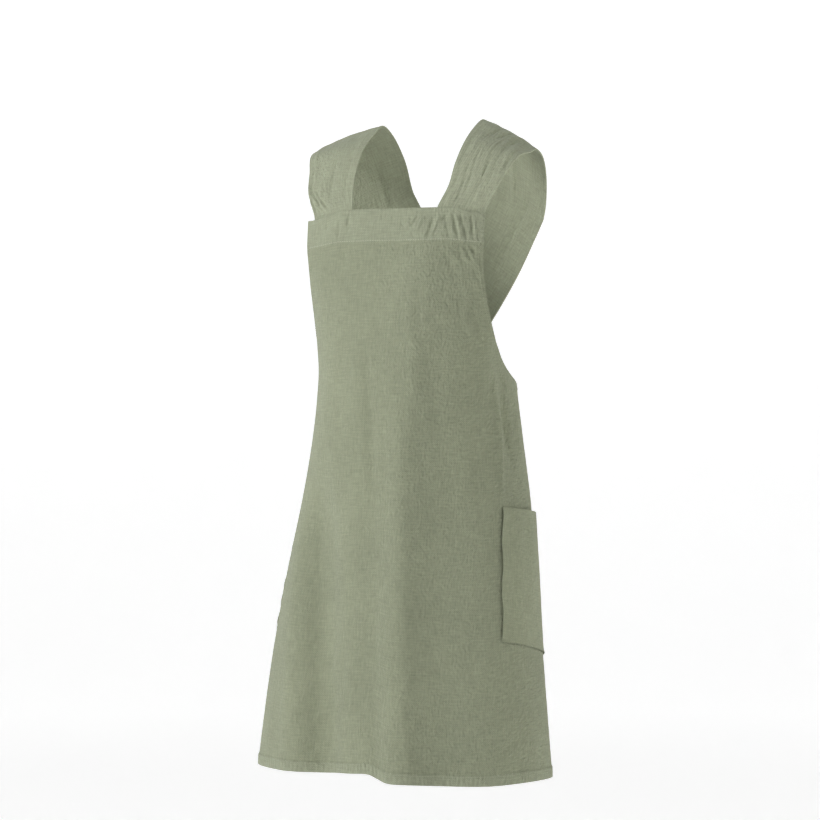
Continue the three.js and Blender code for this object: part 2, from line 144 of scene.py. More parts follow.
# Soft vertical folds: direction at the waist and at the hem, where the fold grows from and
# to and dies away, as shares of the length, depth and half width
FOLDS = (
    (13, 22, 0.3, 0.8, 2, 0.65, 9),
    (-40, -23, 0.42, 0.85, 2, -0.65, 9),
    (-60, -40, 0.5, 0.9, 2, 0.35, 8),
    (34, 44, 0.3, 0.9, 2, -0.4, 14),
    (72, 70, 0.38, 0.46, 0.55, 0.22, 4),
    (80, 79, 0.38, 0.46, 0.54, -0.3, 5),
    (-76, -62, 0.38, 0.9, 2, 0.1, 10),
    (120, 134, 0.6, 1.0, 2, 0.6, 9),
    (-122, -112, 0.6, 1.0, 2, 0.5, 10),
    (140, 151, 0.56, 0.95, 2, -0.5, 7),
    (-138, -140, 0.56, 0.95, 2, -0.7, 9),
)

# How far the hem rides up: direction, share of HEM_RISE
HEM_LINE = np.array([
    (-180, 0.5),
    (-110, 0.85),
    (-73, 0.87),
    (-45, 0.8),
    (-20, 0.87),
    (-4, 0.97),
    (7, 1.0),
    (13, 0.64),
    (19, 0.28),
    (28, 0.15),
    (45, 0.04),
    (62, 0.0),
    (82, 0.2),
    (110, 0.15),
    (180, 0.3),
])

# Stations of the strap over the shoulder: across, out, down, width, lean, turn
OVER_SHOULDER = (
    (0.88, 0.844, 0.748, 0.75, 6, 1),
    (0.927, 0.634, 0.45, 0.83, 7, 4),
    (0.969, 0.382, 0.21, 0.92, 14, 0),
    (0.985, 0.048, 0.066, 1.0, 23, 0),
    (0.985, -0.215, -0.018, 1.0, 28, -2),
    (0.975, -0.515, 0.09, 1.0, 28, -5),
    (0.94, -0.8, 0.4, 1.0, 28, -11),
)

# The straps: side, passes over the other, share of the leans, lift on the shoulder
STRAPS = {
    "strap_left": (1, True, 1.0, 0.0),
    "strap_right": (-1, False, 0.6, 5.5),
}
# The pockets: side, direction of the front edge
POCKETS = {"pocket_left": (1, 70.5), "pocket_right": (-1, 78.0)}
BACK_ROWS = 15
STATION_ROWS = 2
# Shares of the way down the back where the upper strap starts to rise and has risen, starts
# to fall and has fallen
CROSSING = (0.08, 0.26, 0.74, 0.92)


def blend_between(low, high, share):
    return low + (high - low) * share


def ease(x, low, high):
    """0 below low, 1 above high and a smooth step between them."""
    t = np.clip((x - low) / (high - low), 0.0, 1.0)
    return t * t * (3 - 2 * t)


def bell(x):
    return np.exp(-x * x)


def read_table(table, column, x, key=0):
    """One column of a table at x, on a smooth curve through its rows."""
    keys, values = table[:, key], table[:, column]
    slopes = np.empty(len(keys))
    slopes[1:-1] = (values[2:] - values[:-2]) / (keys[2:] - keys[:-2])
    slopes[0] = (values[1] - values[0]) / (keys[1] - keys[0])
    slopes[-1] = (values[-1] - values[-2]) / (keys[-1] - keys[-2])
    i = np.clip(np.searchsorted(keys, x) - 1, 0, len(keys) - 2)
    step = keys[i + 1] - keys[i]
    t = np.clip((x - keys[i]) / step, 0.0, 1.0)
    return (
        (2 * t**3 - 3 * t**2 + 1) * values[i]
        + (t**3 - 2 * t**2 + t) * step * slopes[i]
        + (3 * t**2 - 2 * t**3) * values[i + 1]
        + (t**3 - t**2) * step * slopes[i + 1]
    )


def section_at(drop):
    """Half width, middle, depth ahead, depth behind and squareness at a drop."""
    down = drop / APRON_LENGTH
    half, middle, front, back, square = (read_table(SECTIONS, c, down) for c in range(1, 6))
    middle = -middle * HEM_FRONT
    ahead, behind = front * HEM_FRONT + middle, back * WAIST_BACK - middle
    return half * HEM_HALF_WIDTH, middle, ahead, behind, square


def section_point(angle, drop):
    """x and y of the level section at a drop, in a direction from straight ahead."""
    half, middle, ahead, behind, square = section_at(drop)
    sine, cosine = np.sin(np.radians(angle)), np.cos(np.radians(angle))
    depth = np.where(cosine >= 0, ahead, behind)
    reach = ((np.abs(sine) / half) ** square + (np.abs(cosine) / depth) ** square) ** (-1 / square)
    return reach * sine, middle - reach * cosine


def angle_across(across, drop, behind=False):
    """The direction in which the section is this far from the middle plane."""
    drop = np.asarray(drop, float)
    across = across + 0 * drop
    nearer = np.full(across.shape, 180.0 if behind else 0.0)
    further = np.full(across.shape, 90.0)
    for _ in range(40):
        angle = (nearer + further) / 2
        inside = section_point(angle, drop + 0 * angle)[0] < across
        nearer, further = np.where(inside, angle, nearer), np.where(inside, further, angle)
    return nearer


BAND_BOTTOM = BIB_DROP + BAND_HEIGHT
UNDERARM_DROP = blend_between(BAND_BOTTOM, ARMHOLE_DROP, ARMHOLE[UNDERARM_ROW, 0])
BIB_ANGLE = float(angle_across(BIB_WIDTH / 2, BAND_BOTTOM))
CORNER_ANGLE = float(angle_across(CORNER_OPENING / 2, ARMHOLE_DROP, True))


def edge_angle(drop):
    """The direction of the cloth's side edge at a drop."""
    drop = np.asarray(drop, float)
    on_band = angle_across(BIB_WIDTH / 2, np.minimum(drop, BAND_BOTTOM))
    down = np.clip((drop - BAND_BOTTOM) / (ARMHOLE_DROP - BAND_BOTTOM), 0, 1)
    at_arm = blend_between(BIB_ANGLE, CORNER_ANGLE, read_table(ARMHOLE, 1, down))
    fall = np.clip((drop - ARMHOLE_DROP) / (APRON_LENGTH - ARMHOLE_DROP), 0, 1)
    opening = blend_between(CORNER_OPENING, HEM_OPENING, fall) / 2
    behind = angle_across(opening, np.maximum(drop, ARMHOLE_DROP), True)
    return np.where(drop <= BAND_BOTTOM, on_band, np.where(drop < ARMHOLE_DROP, at_arm, behind))


EDGE_DROPS = np.arange(BIB_DROP, APRON_LENGTH + 1, 0.5)
EDGE_ANGLES = edge_angle(EDGE_DROPS)


def edge_at(drop):
    """The direction of the side edge at a drop, read from the values found above."""
    return np.interp(drop, EDGE_DROPS, EDGE_ANGLES)


def armhole_drop_at(angle):
    """The drop of the armhole's edge in a direction."""
    turned = (angle - BIB_ANGLE) / (CORNER_ANGLE - BIB_ANGLE)
    return blend_between(BAND_BOTTOM, ARMHOLE_DROP, read_table(ARMHOLE, 0, turned, key=1))


def fold_height(angle, drop):
    """How far the soft folds push the cloth out."""
    down = drop / APRON_LENGTH
    height = 0 * down
    for high, low, start, grown, end, depth, spread in FOLDS:
        middle = blend_between(high, low, (down - WAIST) / (1 - WAIST))
        size = ease(down, start, grown) * (1 - ease(down, end - FADE_ABOVE, end))
        height = height + depth * FOLD_DEPTH * size * bell((angle - middle) / spread)
    return height


def hang(angle, drop):
    """How far the cloth hangs below its level row."""
    left = angle > 0
    fall = np.where(left, LEFT_CORNER[0], RIGHT_CORNER[0])
    start = np.where(left, LEFT_CORNER[1], RIGHT_CORNER[1])
    fade = np.maximum(1 - (drop - BIB_DROP) / (2 * BAND_HEIGHT), 0)
    droop = fall * fade * ease(np.abs(angle) / BIB_ANGLE, start, 1)
    rise = HEM_RISE * read_table(HEM_LINE, 1, angle)
    return droop - rise * ease(drop, ARMHOLE_DROP, APRON_LENGTH)


def cloth_middle(angle, drop):
    """The middle layer of the cloth in a direction and at a drop."""
    angle, drop = np.broadcast_arrays(np.asarray(angle, float), np.asarray(drop, float))
    x, y = section_point(angle, drop)
    push = fold_height(angle, drop)
    away = np.hypot(x, y)
    shift = BIB_SHIFT * (1 - ease(drop, BAND_BOTTOM, UNDERARM_DROP))
    pushed = x + push * x / away + shift, y + push * y / away
    return np.stack([*pushed, -drop - hang(angle, drop)], -1)


def unit(vectors):
    return vectors / np.linalg.norm(vectors, axis=-1, keepdims=True)


def cloth_point(angle, drop, outwards):
    """A point of the cloth moved outwards from its middle layer."""
    along = cloth_middle(angle + 0.4, drop) - cloth_middle(angle - 0.4, drop)
    down = cloth_middle(angle, drop + 0.5) - cloth_middle(angle, drop - 0.5)
    normal = unit(np.cross(down, along))
    return cloth_middle(angle, drop) + normal * np.asarray(outwards)[..., None]


# How finely the cloth is divided
MIDDLE_COLUMNS = 170
SIDE_COLUMNS = 56
BIB_ROWS = 58
BIB_ROW_GROWTH = 1.25
SKIRT_ROWS = 136
# Rows of the skirt lie closest under the bib and above the hem, where its creases are:
# share of the rows, share of the way down
SKIRT_ROW_SPREAD = ((0.0, 0.0), (0.2, 0.155), (0.44, 0.65), (1.0, 1.0))
EDGE_GAP = 0.02  # between the panel and the band or the hem sewn to it
RIM_ANGLE = math.radians(50)  # past this angle the cloth's cut edges look sharp
BAND_ROWS, BAND_COLUMNS = 48, 260
HEM_ROWS, HEM_MIDDLE_COLUMNS, HEM_SIDE_COLUMNS = 14, 560, 240
POCKET_ROWS, POCKET_COLUMNS = 95, 86
STRAP_COLUMNS = 44
STRAP_STEPS = 9  # rows of the fine strap for one row of the CAD strap
BAND_LINE_POINTS, HEM_LINE_POINTS, EDGE_LINE_POINTS = 400, 1200, 700

# Soft unevenness of the cloth: seed, wave length, height
LONG_WAVES = (11, 62, 0.35)
SHORT_WAVES = (23, 21, 0.12)
STRAP_WAVES = {"strap_left": (32, 26, 0.25), "strap_right": (30, 26, 0.25)}

# Small gathers where a strap is sewn to the band: how many, share of the depth, and the rows
# before the end of the tuck where they start
STRAP_GATHERS = {"strap_left": (11, 1.0), "strap_right": (7, 0.6)}
GATHER_START = 2.4

# Creases pressed and pulled into the cloth: from a direction and drop to another, half
# width, depth (outwards if positive) and how far the middle of the line bows sideways
BAND_CREASES = (
    (24, 120, 17.5, 138, 2.1, -1.86, 0),
    (18, 124, 15, 135, 2, 1.35, 0),
    (28, 119, 22.5, 144, 2.1, 1.52, 0),
    (34.5, 120, 29, 158, 2.3, -2.54, 0),
    (38.5, 119, 32, 154, 2.3, 1.86, 0),
    (35.5, 131, 29.5, 159, 1.9, -1.86, 0),
    (42, 118, 38.5, 131, 2.3, -1.69, 0),
    (40, 116, 43, 155, 2.1, -2.03, 0),
    (44.5, 115, 47.5, 157, 2.4, -3.04, 0),
    (46.5, 115, 49, 155, 2.1, 2.2, 0),
    (48.5, 115, 51.5, 157, 2.3, -2.86, 0),
    (50.5, 115, 49, 149, 2.1, 1.69, 0),
    (53, 112, 54, 153, 2, -2.2, 0),
    (54.5, 113, 55.5, 158, 2, 1.69, 0),
    (-34, 115, -34, 136, 2.3, -2.2, 0),
    (-31, 127, -34.5, 147, 2.3, -1.35, 0),
    (-40, 118, -39, 152, 2.4, -1.35, 0),
    (-45.5, 115, -47.5, 135, 2.9, -1.01, 0),
    (-13.5, 119, -15.5, 131, 3.1, -0.68, 0),
    (5, 117, 2.5, 141, 4, -0.68, 0),
)
PANEL_CREASES = (
    (47, 163, 50, 182, 2.2, -2.27, 0),
    (49.5, 160, 54.5, 187, 2.4, -2.65, 0),
    (52, 159, 55, 175, 2, -2.65, 0),
    (54, 161, 56, 184, 2.2, -2.27, 0),
    (44.5, 165, 54, 200, 3, -1.51, 0),
    (53.5, 187, 59.5, 221, 3, -1.32, 0),
    (56.5, 165, 59.5, 207, 2.2, -1.7, 0),
    (40.5, 171, 50.5, 222, 4, -1.13, 0),
    (46.5, 197, 57.5, 257, 5, 1.32, 0),
    (51.5, 250, 59, 307, 5, 2.08, 2),
    (55, 243, 64, 317, 4, -1.51, 2),
    (60.5, 317, 75, 354, 5, 1.51, 0),
    (29.5, 188, 23.5, 307, 8.9, -0.94, 0),
    (25.5, 243, 27, 314, 6.9, -1.7, 0),
    (13.5, 286, 30.5, 317, 5.9, 0.94, 0),
    (-35, 163, -31, 197, 4, -0.94, 0),
    (-11, 314, -3.5, 422, 6.9, -0.94, 0),
    (-7.5, 357, -1, 530, 9.9, -1.51, 0),
    (1, 414, 8, 618, 8.9, 1.32, 0),
    (19.5, 350, 21, 557, 9.9, -1.32, 0),
    (29.5, 386, 33, 485, 7.9, 1.13, 0),
    (33.5, 379, 28.5, 421, 4, 0.94, 0),
    (19, 414, 14.5, 443, 3.4, -0.94, 0),
    (72, 337, 71, 536, 4, 3.78, -3),
    (79, 345, 80.5, 486, 5.9, -3.02, 0),
    (94, 364, 91, 487, 4, 1.7, 0),
    (78, 348, 85, 374, 2.4, -1.89, 0),
    (-35, 858, -23.5, 837, 3, 1.7, 0),
    (-21.5, 842, -12, 824, 3, -1.7, 0),
    (-36, 909, -27.5, 886, 3.4, -1.7, 0),
    (-42.5, 868, -39.5, 827, 5, 1.32, 0),
    (-43, 813, -40, 772, 7.9, -1.89, 0),
    (-24.5, 811, -21, 752, 7.9, 1.51, 0),
    (-14, 824, -13, 737, 7.9, -1.51, 0),
    (-42.5, 787, -31.5, 760, 4, 0.94, 0),
    (26, 797, 29, 762, 4, 1.32, 0),
    (29, 860, 26.5, 811, 4, -1.51, 0),
    (31, 845, 33, 827, 3, 1.13, 0),
    (28.5, 901, 26.5, 874, 2.4, 1.7, 0),
    (39, 907, 49.5, 889, 4, 1.51, 0),
    (47.5, 913, 55.5, 887, 5, -1.7, 0),
    (52.5, 903, 64, 878, 5, 1.7, 0),
    (67, 886, 76.5, 862, 5.9, -1.51, 0),
    (55.5, 871, 77, 834, 6.9, 1.13, 0),
    (31, 796, 43, 809, 5.9, 0.94, 0),
    (43, 809, 68, 796, 8.9, -1.13, 0),
)
# Soft drapes with a wide and a steep flank: from a direction and drop to another, half
# width towards the wearer's right and towards the left, height
DRAPES = (
    (33, 130, 18.5, 440, 34, 24, 4.8),
    (17, 370, 28.5, 1000, 24, 36, 8.5),
    (27, 240, 19.5, 500, 13, 8, 1.1),
    (16.5, 450, 29, 960, 10, 8, 1.0),
    (-46, 455, -22, 960, 28, 46, -14.0),
    (-56, 520, -45, 1000, 26, 16, 2.2),
    (45, 450, 48, 1000, 34, 30, -2.4),
    (-4, 330, 9, 880, 16, 14, -0.9),
    (32, 185, 36, 420, 20, 16, -1.0),
    (60, 160, 67, 350, 21, 12, 3.2),
)
# Creases of a strap: row and share of the width at each end, half width, depth, bow. Rows
# run from the end behind the band over the shoulder and down the back.
STRAP_CREASES = {
    "strap_left": (
        (4.5, 0.2, 12.5, 0.1, 1.9, -1.3, 2),
        (4.5, 0.34, 9.0, 0.27, 1.9, -1.5, 1),
        (4.5, 0.46, 13.0, 0.33, 1.9, -1.4, 2),
        (6.0, 0.62, 12.0, 0.5, 2, 1.3, 1),
        (4.5, 0.66, 9.5, 0.62, 1.9, -1.5, 2),
        (6.5, 0.8, 13.0, 0.68, 2, -1.2, 2),
        (8.0, 0.42, 13.8, 0.28, 1.9, 1.2, 1),
        (7.2, 0.95, 12.6, 0.9, 1.9, -1.3, 1),
        (8.4, 0.86, 13.4, 0.8, 1.9, 1.3, 1),
        (8.8, 0.78, 13.6, 0.7, 1.9, -1.5, 1),
        (7.6, 0.56, 12.8, 0.58, 1.9, -1.2, 1),
        (9.6, 0.66, 14.0, 0.62, 1.9, 1.2, 1),
        (9.0, 0.5, 13.6, 0.48, 1.9, -1.3, 0),
        (8.2, 0.22, 13.0, 0.2, 1.9, 1.0, 1),
        (10.5, 0.24, 14.5, 0.44, 1.9, -1.73, 1),
        (10.8, 0.4, 14.6, 0.62, 1.9, -1.92, 1),
        (11.2, 0.55, 14.4, 0.74, 1.9, 1.73, 1),
        (11.2, 0.66, 14.4, 0.85, 1.9, -1.92, 0),
        (12.0, 0.8, 15.5, 0.95, 1.9, -1.54, 0),
        (7.0, 0.9, 11.5, 0.84, 1.9, 1.34, 0),
        (16.0, 0.3, 21.0, 0.36, 3.4, -1.54, 2),
        (19.0, 0.66, 25.0, 0.6, 4.2, 1.54, 3),
        (28.0, 0.3, 34.0, 0.25, 3.4, -1.34, 2),
    ),
    "strap_right": (
        (4.2, 0.72, 6.9, 0.97, 1.9, -2.1, 1),
        (4.2, 0.9, 5.9, 0.99, 1.9, -1.9, 0),
        (4.4, 0.58, 6.4, 0.84, 1.9, -2.3, -1),
        (4.4, 0.82, 6.6, 0.68, 1.9, 1.7, 1),
        (5.6, 0.93, 9.0, 0.88, 1.9, -1.2, 0),
        (4.2, 0.64, 5.4, 0.74, 1.9, 1.7, 0),
        (5.2, 0.5, 9.5, 0.44, 2.5, -0.96, 1),
        (7.0, 0.86, 13.0, 0.88, 1.9, 0.96, 0),
        (5.0, 0.2, 11.0, 0.16, 2.5, -0.96, 1),
        (16.5, 0.5, 22.0, 0.45, 3.4, -1.34, 2),
        (26.0, 0.6, 33.0, 0.7, 3.8, -1.54, 3),
    ),
}
# The studio, in metres and degrees
BACKDROP_RADIUS = 9
BACKDROP_HEIGHT = 7
BACKDROP_ROUNDING = 2.5  # of the corner between its floor and its wall
WORLD_STRENGTH = 0.01
# The camera looks level at a point inside the apron
CAMERA_TURN = 27.0  # round the apron from straight ahead, towards the wearer's left
CAMERA_DISTANCE = 5.0
CAMERA_PIXELS = 3400  # focal length in pixels of a picture this wide
PICTURE = 820
SENSOR = 36  # width in millimetres
AIM_SIDE, AIM_HEIGHT = -0.022, -0.4  # towards the picture's right, and up
LIGHT_DISTANCE = 3.4
# The lights: direction from straight ahead towards the wearer's left, elevation, size, colour
KEY_LIGHT = (-42, 36, 1.3, (0.97, 0.975, 1.0))
FILL_LIGHT = (125, 20, 2.0, (0.98, 1.0, 0.84))
# Places of the lines of stitches
BAND_STITCH = 1.6  # above the band's lower edge
STITCH_RISE = 0.2  # of the band's and the hem's stitches off the cloth
HEM_STITCH = 2.2  # under the hem's upper edge
PUCKER_LENGTH = 6.2  # from one pucker of the hem to the next
ARM_STITCH = 5.0  # inside the armhole and the back edges
POCKET_LIFT_WIDTH = 9.0  # how far in the pocket's front edge stands off the panel


def linear(colour):
    """Linear values of an sRGB colour written as #rrggbb."""
    parts = [int(colour[i : i + 2], 16) / 255 for i in (1, 3, 5)]
    return tuple(p / 12.92 if p <= 0.04045 else ((p + 0.055) / 1.055) ** 2.4 for p in parts)


def shifted(colour, share):
    """An sRGB colour made lighter or darker by a share."""
    parts = [min(round(int(colour[i : i + 2], 16) * share), 255) for i in (1, 3, 5)]
    return "#" + "".join(f"{p:02x}" for p in parts)


def across_length(angle, drop):
    """Length along the level section from straight ahead to a direction, negative on the right."""
    shares = np.linspace(0, 1, 33).reshape((-1,) + (1,) * np.ndim(angle))
    x, y = section_point(shares * angle, drop + 0 * shares * angle)
    return np.sign(angle) * np.hypot(np.diff(x, axis=0), np.diff(y, axis=0)).sum(0)


def crease_lines(table):
    """The creases of the hanging cloth with their ends in millimetres across and down."""
    rows = np.array(table, float)
    rows[:, 0] = across_length(rows[:, 0], rows[:, 1])
    rows[:, 2] = across_length(rows[:, 2], np.minimum(rows[:, 3], APRON_LENGTH))
    return rows


def crease_height(across, down, lines):
    """How far the creases lift the cloth at places given in millimetres across and down."""
    height = np.zeros(np.broadcast(across, down).shape)
    for x0, y0, x1, y1, half, depth, bow in lines:
        length = math.hypot(x1 - x0, y1 - y0)
        tx, ty = (x1 - x0) / length, (y1 - y0) / length
        near = (np.abs(across - (x0 + x1) / 2) < length / 2 + 4 * half + abs(bow)) & (
            np.abs(down - (y0 + y1) / 2) < length / 2 + 4 * half + abs(bow)
        )
        px, py = across[near] - x0, down[near] - y0
        along = (px * tx + py * ty) / length
        aside = px * -ty + py * tx - bow * np.sin(np.pi * np.clip(along, 0, 1))
        ends = ease(along, -0.05, 0.3) * (1 - ease(along, 0.65, 1.1))
        height[near] += depth * ends * bell(aside / half)
    return height


def drape_height(across, down, lines):
    """How far the soft drapes lift the cloth at places in millimetres across and down."""
    height = np.zeros(np.broadcast(across, down).shape)
    for x0, y0, x1, y1, to_right, to_left, lift in lines:
        along = (down - y0) / (y1 - y0)
        aside = across - blend_between(x0, x1, along)
        half = np.where(aside < 0, to_right, to_left)
        ends = ease(along, 0, 0.25) * (1 - ease(along, 0.92, 1.2))
        height += lift * ends * bell(aside / half)
    return height


def soft_waves(across, down, seed, length, height):
    """Seeded unevenness of about this height, with waves of about this length."""
    rng = np.random.default_rng(seed)
    count = 14
    total = 0
    for _ in range(count):
        turn, phase = rng.uniform(-0.6, 0.6), rng.uniform(0, 2 * math.pi)
        step = 2 * math.pi / (length * rng.uniform(0.6, 1.7))
        place = across * math.cos(turn) + 0.45 * down * math.sin(turn)
        total = total + np.sin(step * place + phase)
    return height * total / math.sqrt(count)


def relief(angle, drop, depth):
    """Creases and soft unevenness of the hanging cloth."""
    across = across_length(angle, drop)
    height = crease_height(across, drop, CLOTH_LINES)
    height = height + drape_height(across, drop, CLOTH_DRAPES)
    loose = ease(drop, BAND_BOTTOM, UNDERARM_DROP)
    height = height + loose * soft_waves(across, drop, *LONG_WAVES)
    height = height + soft_waves(across, drop, *SHORT_WAVES)
    return depth * height


CLOTH_LINES = crease_lines(BAND_CREASES + PANEL_CREASES)
CLOTH_DRAPES = crease_lines(DRAPES)


def dressed_point(angle, drop, outwards, depth):
    """A point of the creased cloth, moved outwards from its middle layer."""
    angle, drop, outwards = np.broadcast_arrays(angle, drop, outwards)
    angle, drop = np.asarray(angle, float), np.asarray(drop, float)
    return cloth_point(angle, drop, outwards + relief(angle, drop, depth))


def column_angle(column, drop, middle_columns, side_columns):
    """The direction of one column of the cloth's grid at a drop."""
    away = np.abs(column)
    middle_edge = edge_at(np.minimum(drop, UNDERARM_DROP))
    beyond = np.clip((away - middle_columns / 2) / side_columns, 0, 1)
    outer = blend_between(middle_edge, edge_at(np.maximum(drop, ARMHOLE_DROP)), beyond)
    inner = away / middle_columns * 2 * middle_edge
    return np.sign(column) * np.where(away <= middle_columns / 2, inner, outer)


def panel_grid():
    """Direction and drop of each point of the panel's grid, and which cells are cloth."""
    columns = np.arange(-MIDDLE_COLUMNS / 2 - SIDE_COLUMNS, MIDDLE_COLUMNS / 2 + SIDE_COLUMNS + 1)
    in_bib = np.abs(columns) <= MIDDLE_COLUMNS / 2
    underarm = np.full(columns.shape, float(ARMHOLE_DROP))
    aside = np.abs(column_angle(columns, underarm, MIDDLE_COLUMNS, SIDE_COLUMNS))
    top = np.where(in_bib, UNDERARM_DROP, armhole_drop_at(aside))
    finer = np.linspace(0, 1, BIB_ROWS + 1)[:-1] ** BIB_ROW_GROWTH
    bib = blend_between(BAND_BOTTOM + EDGE_GAP, UNDERARM_DROP, finer)
    hem_top = APRON_LENGTH - HEM_HEIGHT - EDGE_GAP
    shares = np.interp(np.linspace(0, 1, SKIRT_ROWS + 1), *zip(*SKIRT_ROW_SPREAD))[:, None]
    drops = np.concatenate([bib[:, None] + 0 * top, blend_between(top, hem_top, shares)])
    angles = np.stack([column_angle(columns, row, MIDDLE_COLUMNS, SIDE_COLUMNS) for row in drops])
    present = np.ones((drops.shape[0] - 1, len(columns) - 1), bool)
    present[:BIB_ROWS] = in_bib[:-1] & in_bib[1:]
    return angles, drops, present


def cloth_sheet(name, points, thickness, across, down, present=None):
    """A sheet of cloth through a grid of points on its outer face, given a wall inwards."""
    rows, columns = points.shape[:2]
    index = np.arange(rows * columns).reshape(rows, columns)
    quads = np.stack([index[:-1, :-1], index[1:, :-1], index[1:, 1:], index[:-1, 1:]], -1)
    quads = quads[present] if present is not None else quads.reshape(-1, 4)
    used, quads = np.unique(quads, return_inverse=True)
    quads = quads.reshape(-1, 4)
    places = points.reshape(-1, 3)[used] / 1000
    mesh = bpy.data.meshes.new(name)
    mesh.from_pydata(places.tolist(), [], quads.tolist())
    layer = mesh.uv_layers.new(name="weave")
    uv = np.stack([across.reshape(-1)[used], down.reshape(-1)[used]], -1) / 1000
    layer.data.foreach_set("uv", uv[quads.ravel()].ravel().astype(np.float32))
    piece = bpy.data.objects.new(name, mesh)
    bpy.context.scene.collection.objects.link(piece)
    wall = piece.modifiers.new("wall", "SOLIDIFY")
    wall.thickness = thickness / 1000
    wall.offset = -1
    wall.use_rim = True
    apply_modifiers(piece)
    bpy.ops.object.shade_smooth_by_angle(angle=RIM_ANGLE)
    return piece


def apply_modifiers(piece):
    bpy.ops.object.select_all(action="DESELECT")
    piece.select_set(True)
    bpy.context.view_layer.objects.active = piece
    for modifier in list(piece.modifiers):
        if bpy.ops.object.modifier_apply(modifier=modifier.name) != {"FINISHED"}:
            raise RuntimeError(f"{piece.name}: {modifier.name} wasn't applied")


def dress(piece, node, material):
    """Puts a finished piece on the frame in place of its CAD node."""
    piece.data.materials.clear()
    piece.data.materials.append(material)
    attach(piece, "root")
    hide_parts(node)
    return piece


def back_point(across, drop, outwards):
    """A point on the back of the hanging form, where the straps lie, moved outwards."""

    def on_back(x, d):
        half, middle, _, behind, square = section_at(d)
        side = np.minimum(np.abs(x) / half, 0.99)
        return np.stack([x, middle + behind * (1 - side**square) ** (1 / square), -d], -1)

    along = on_back(across + 0.5, drop) - on_back(across - 0.5, drop)
    down = on_back(across, drop + 0.5) - on_back(across, drop - 0.5)
    return on_back(across, drop) - unit(np.cross(down, along)) * outwards


def strap_back_line(share):
    """Distance across, drop and width of the strap's middle down the back."""
    lean = math.radians(STRAP_LEAN)
    cosine, sine = math.cos(lean), math.sin(lean)
    corner_x = -(CORNER_OPENING / 2 + STRAP_END_MARGIN + STRAP_BACK_WIDTH * cosine / 2)
    corner_drop = ARMHOLE_DROP - STRAP_BACK_WIDTH * sine / 2
    cross_drop = corner_drop + corner_x * cosine / sine
    turn_x = BACK_TURN * BACK_ACROSS
    ends = np.array([
        (BACK_ACROSS, BACK_FALL),
        (turn_x, cross_drop - turn_x * cosine / sine),
        (0, cross_drop),
    ])
    if share < 0.5:
        t = share * 2
        x, drop = (1 - t) ** 2 * ends[0] + 2 * t * (1 - t) * ends[1] + t * t * ends[2]
        return x, drop, STRAP_WIDTH
    t = share * 2 - 1
    x = t * (corner_x - STRAP_TUCK * sine)
    drop = blend_between(cross_drop, corner_drop + STRAP_TUCK * cosine, t)
    return x, drop, blend_between(STRAP_WIDTH, STRAP_BACK_WIDTH, t)


def strap_back(upper, share, across):
    """Points of a strap's middle layer across its width, at a share of the way down the back."""
    x, drop, width = strap_back_line(share)
    lean = math.radians(blend_between(OVER_SHOULDER[-1][4], STRAP_LEAN, ease(share, 0, 0.4)))
    aside = (across - 0.5) * width
    rise_from, rise_to, fall_from, fall_to = CROSSING
    lift = ease(share, rise_from, rise_to) * (1 - ease(share, fall_from, fall_to))
    lift = (STRAP + CROSS_GAP) * lift if upper else 0
    inset = -CLOTH / 2 - WING_GAP - STRAP / 2
    return back_point(x + aside * math.cos(lean), drop + aside * math.sin(lean), inset + lift)


def strap_stations(side_lean, lift, upper, across):
    """Points across the strap at each station, from behind the band to high on the back."""
    inset = CLOTH / 2 - BAND - GATHER_DEPTH - LAY_GAP - STRAP / 2
    made = []
    for share in TUCK_SHARES:
        drop = np.full(across.shape, BIB_DROP + share * STRAP_TUCK)
        from_middle = BIB_WIDTH / 2 - STRAP_END_MARGIN - (1 - across) * STRAP_FRONT_WIDTH
        made.append(cloth_point(angle_across(from_middle, drop), drop, inset + 0 * drop))
    for middle, out, down, width, lean, turn in OVER_SHOULDER:
        reach = out * (STRAP_FORWARD if out > 0 else STRAP_BEHIND)
        raised = lift * (1 - max(down, 0)) ** 2
        lean, turn = math.radians(lean * side_lean), math.radians(turn)
        direction = np.array([math.cos(lean) * math.cos(turn), math.sin(turn), -math.sin(lean)])
        centre = np.array([middle * SHOULDER_SPAN / 2, -reach, raised - down * STRAP_FALL])
        made.append(centre + direction * ((across - 0.5) * width * STRAP_WIDTH)[:, None])
    made.append(strap_back(upper, 0, across))
    made.append(strap_back(upper, STATION_ROWS / BACK_ROWS, across))
    return np.array(made)


def through(stations, place):
    """A point on the centripetal curve through the stations, at a place counted in stations."""
    last = len(stations) - 1
    i = min(int(place), last - 1)
    share = place - i
    one, two = stations[i], stations[i + 1]
    before = stations[i - 1] if i > 0 else 2 * one - two
    after = stations[i + 2] if i + 2 <= last else 2 * two - one
    spans = ((before, one), (one, two), (two, after))
    gap = [((b - a) ** 2).sum(-1, keepdims=True) ** 0.25 for a, b in spans]
    start = (one - before) / gap[0] - (two - before) / (gap[0] + gap[1]) + (two - one) / gap[1]
    end = (two - one) / gap[1] - (after - one) / (gap[1] + gap[2]) + (after - two) / gap[2]
    start, end = start * gap[1], end * gap[1]
    square = -3 * one + 3 * two - 2 * start - end
    cube = 2 * one - 2 * two + start + end
    return one + start * share + square * share**2 + cube * share**3


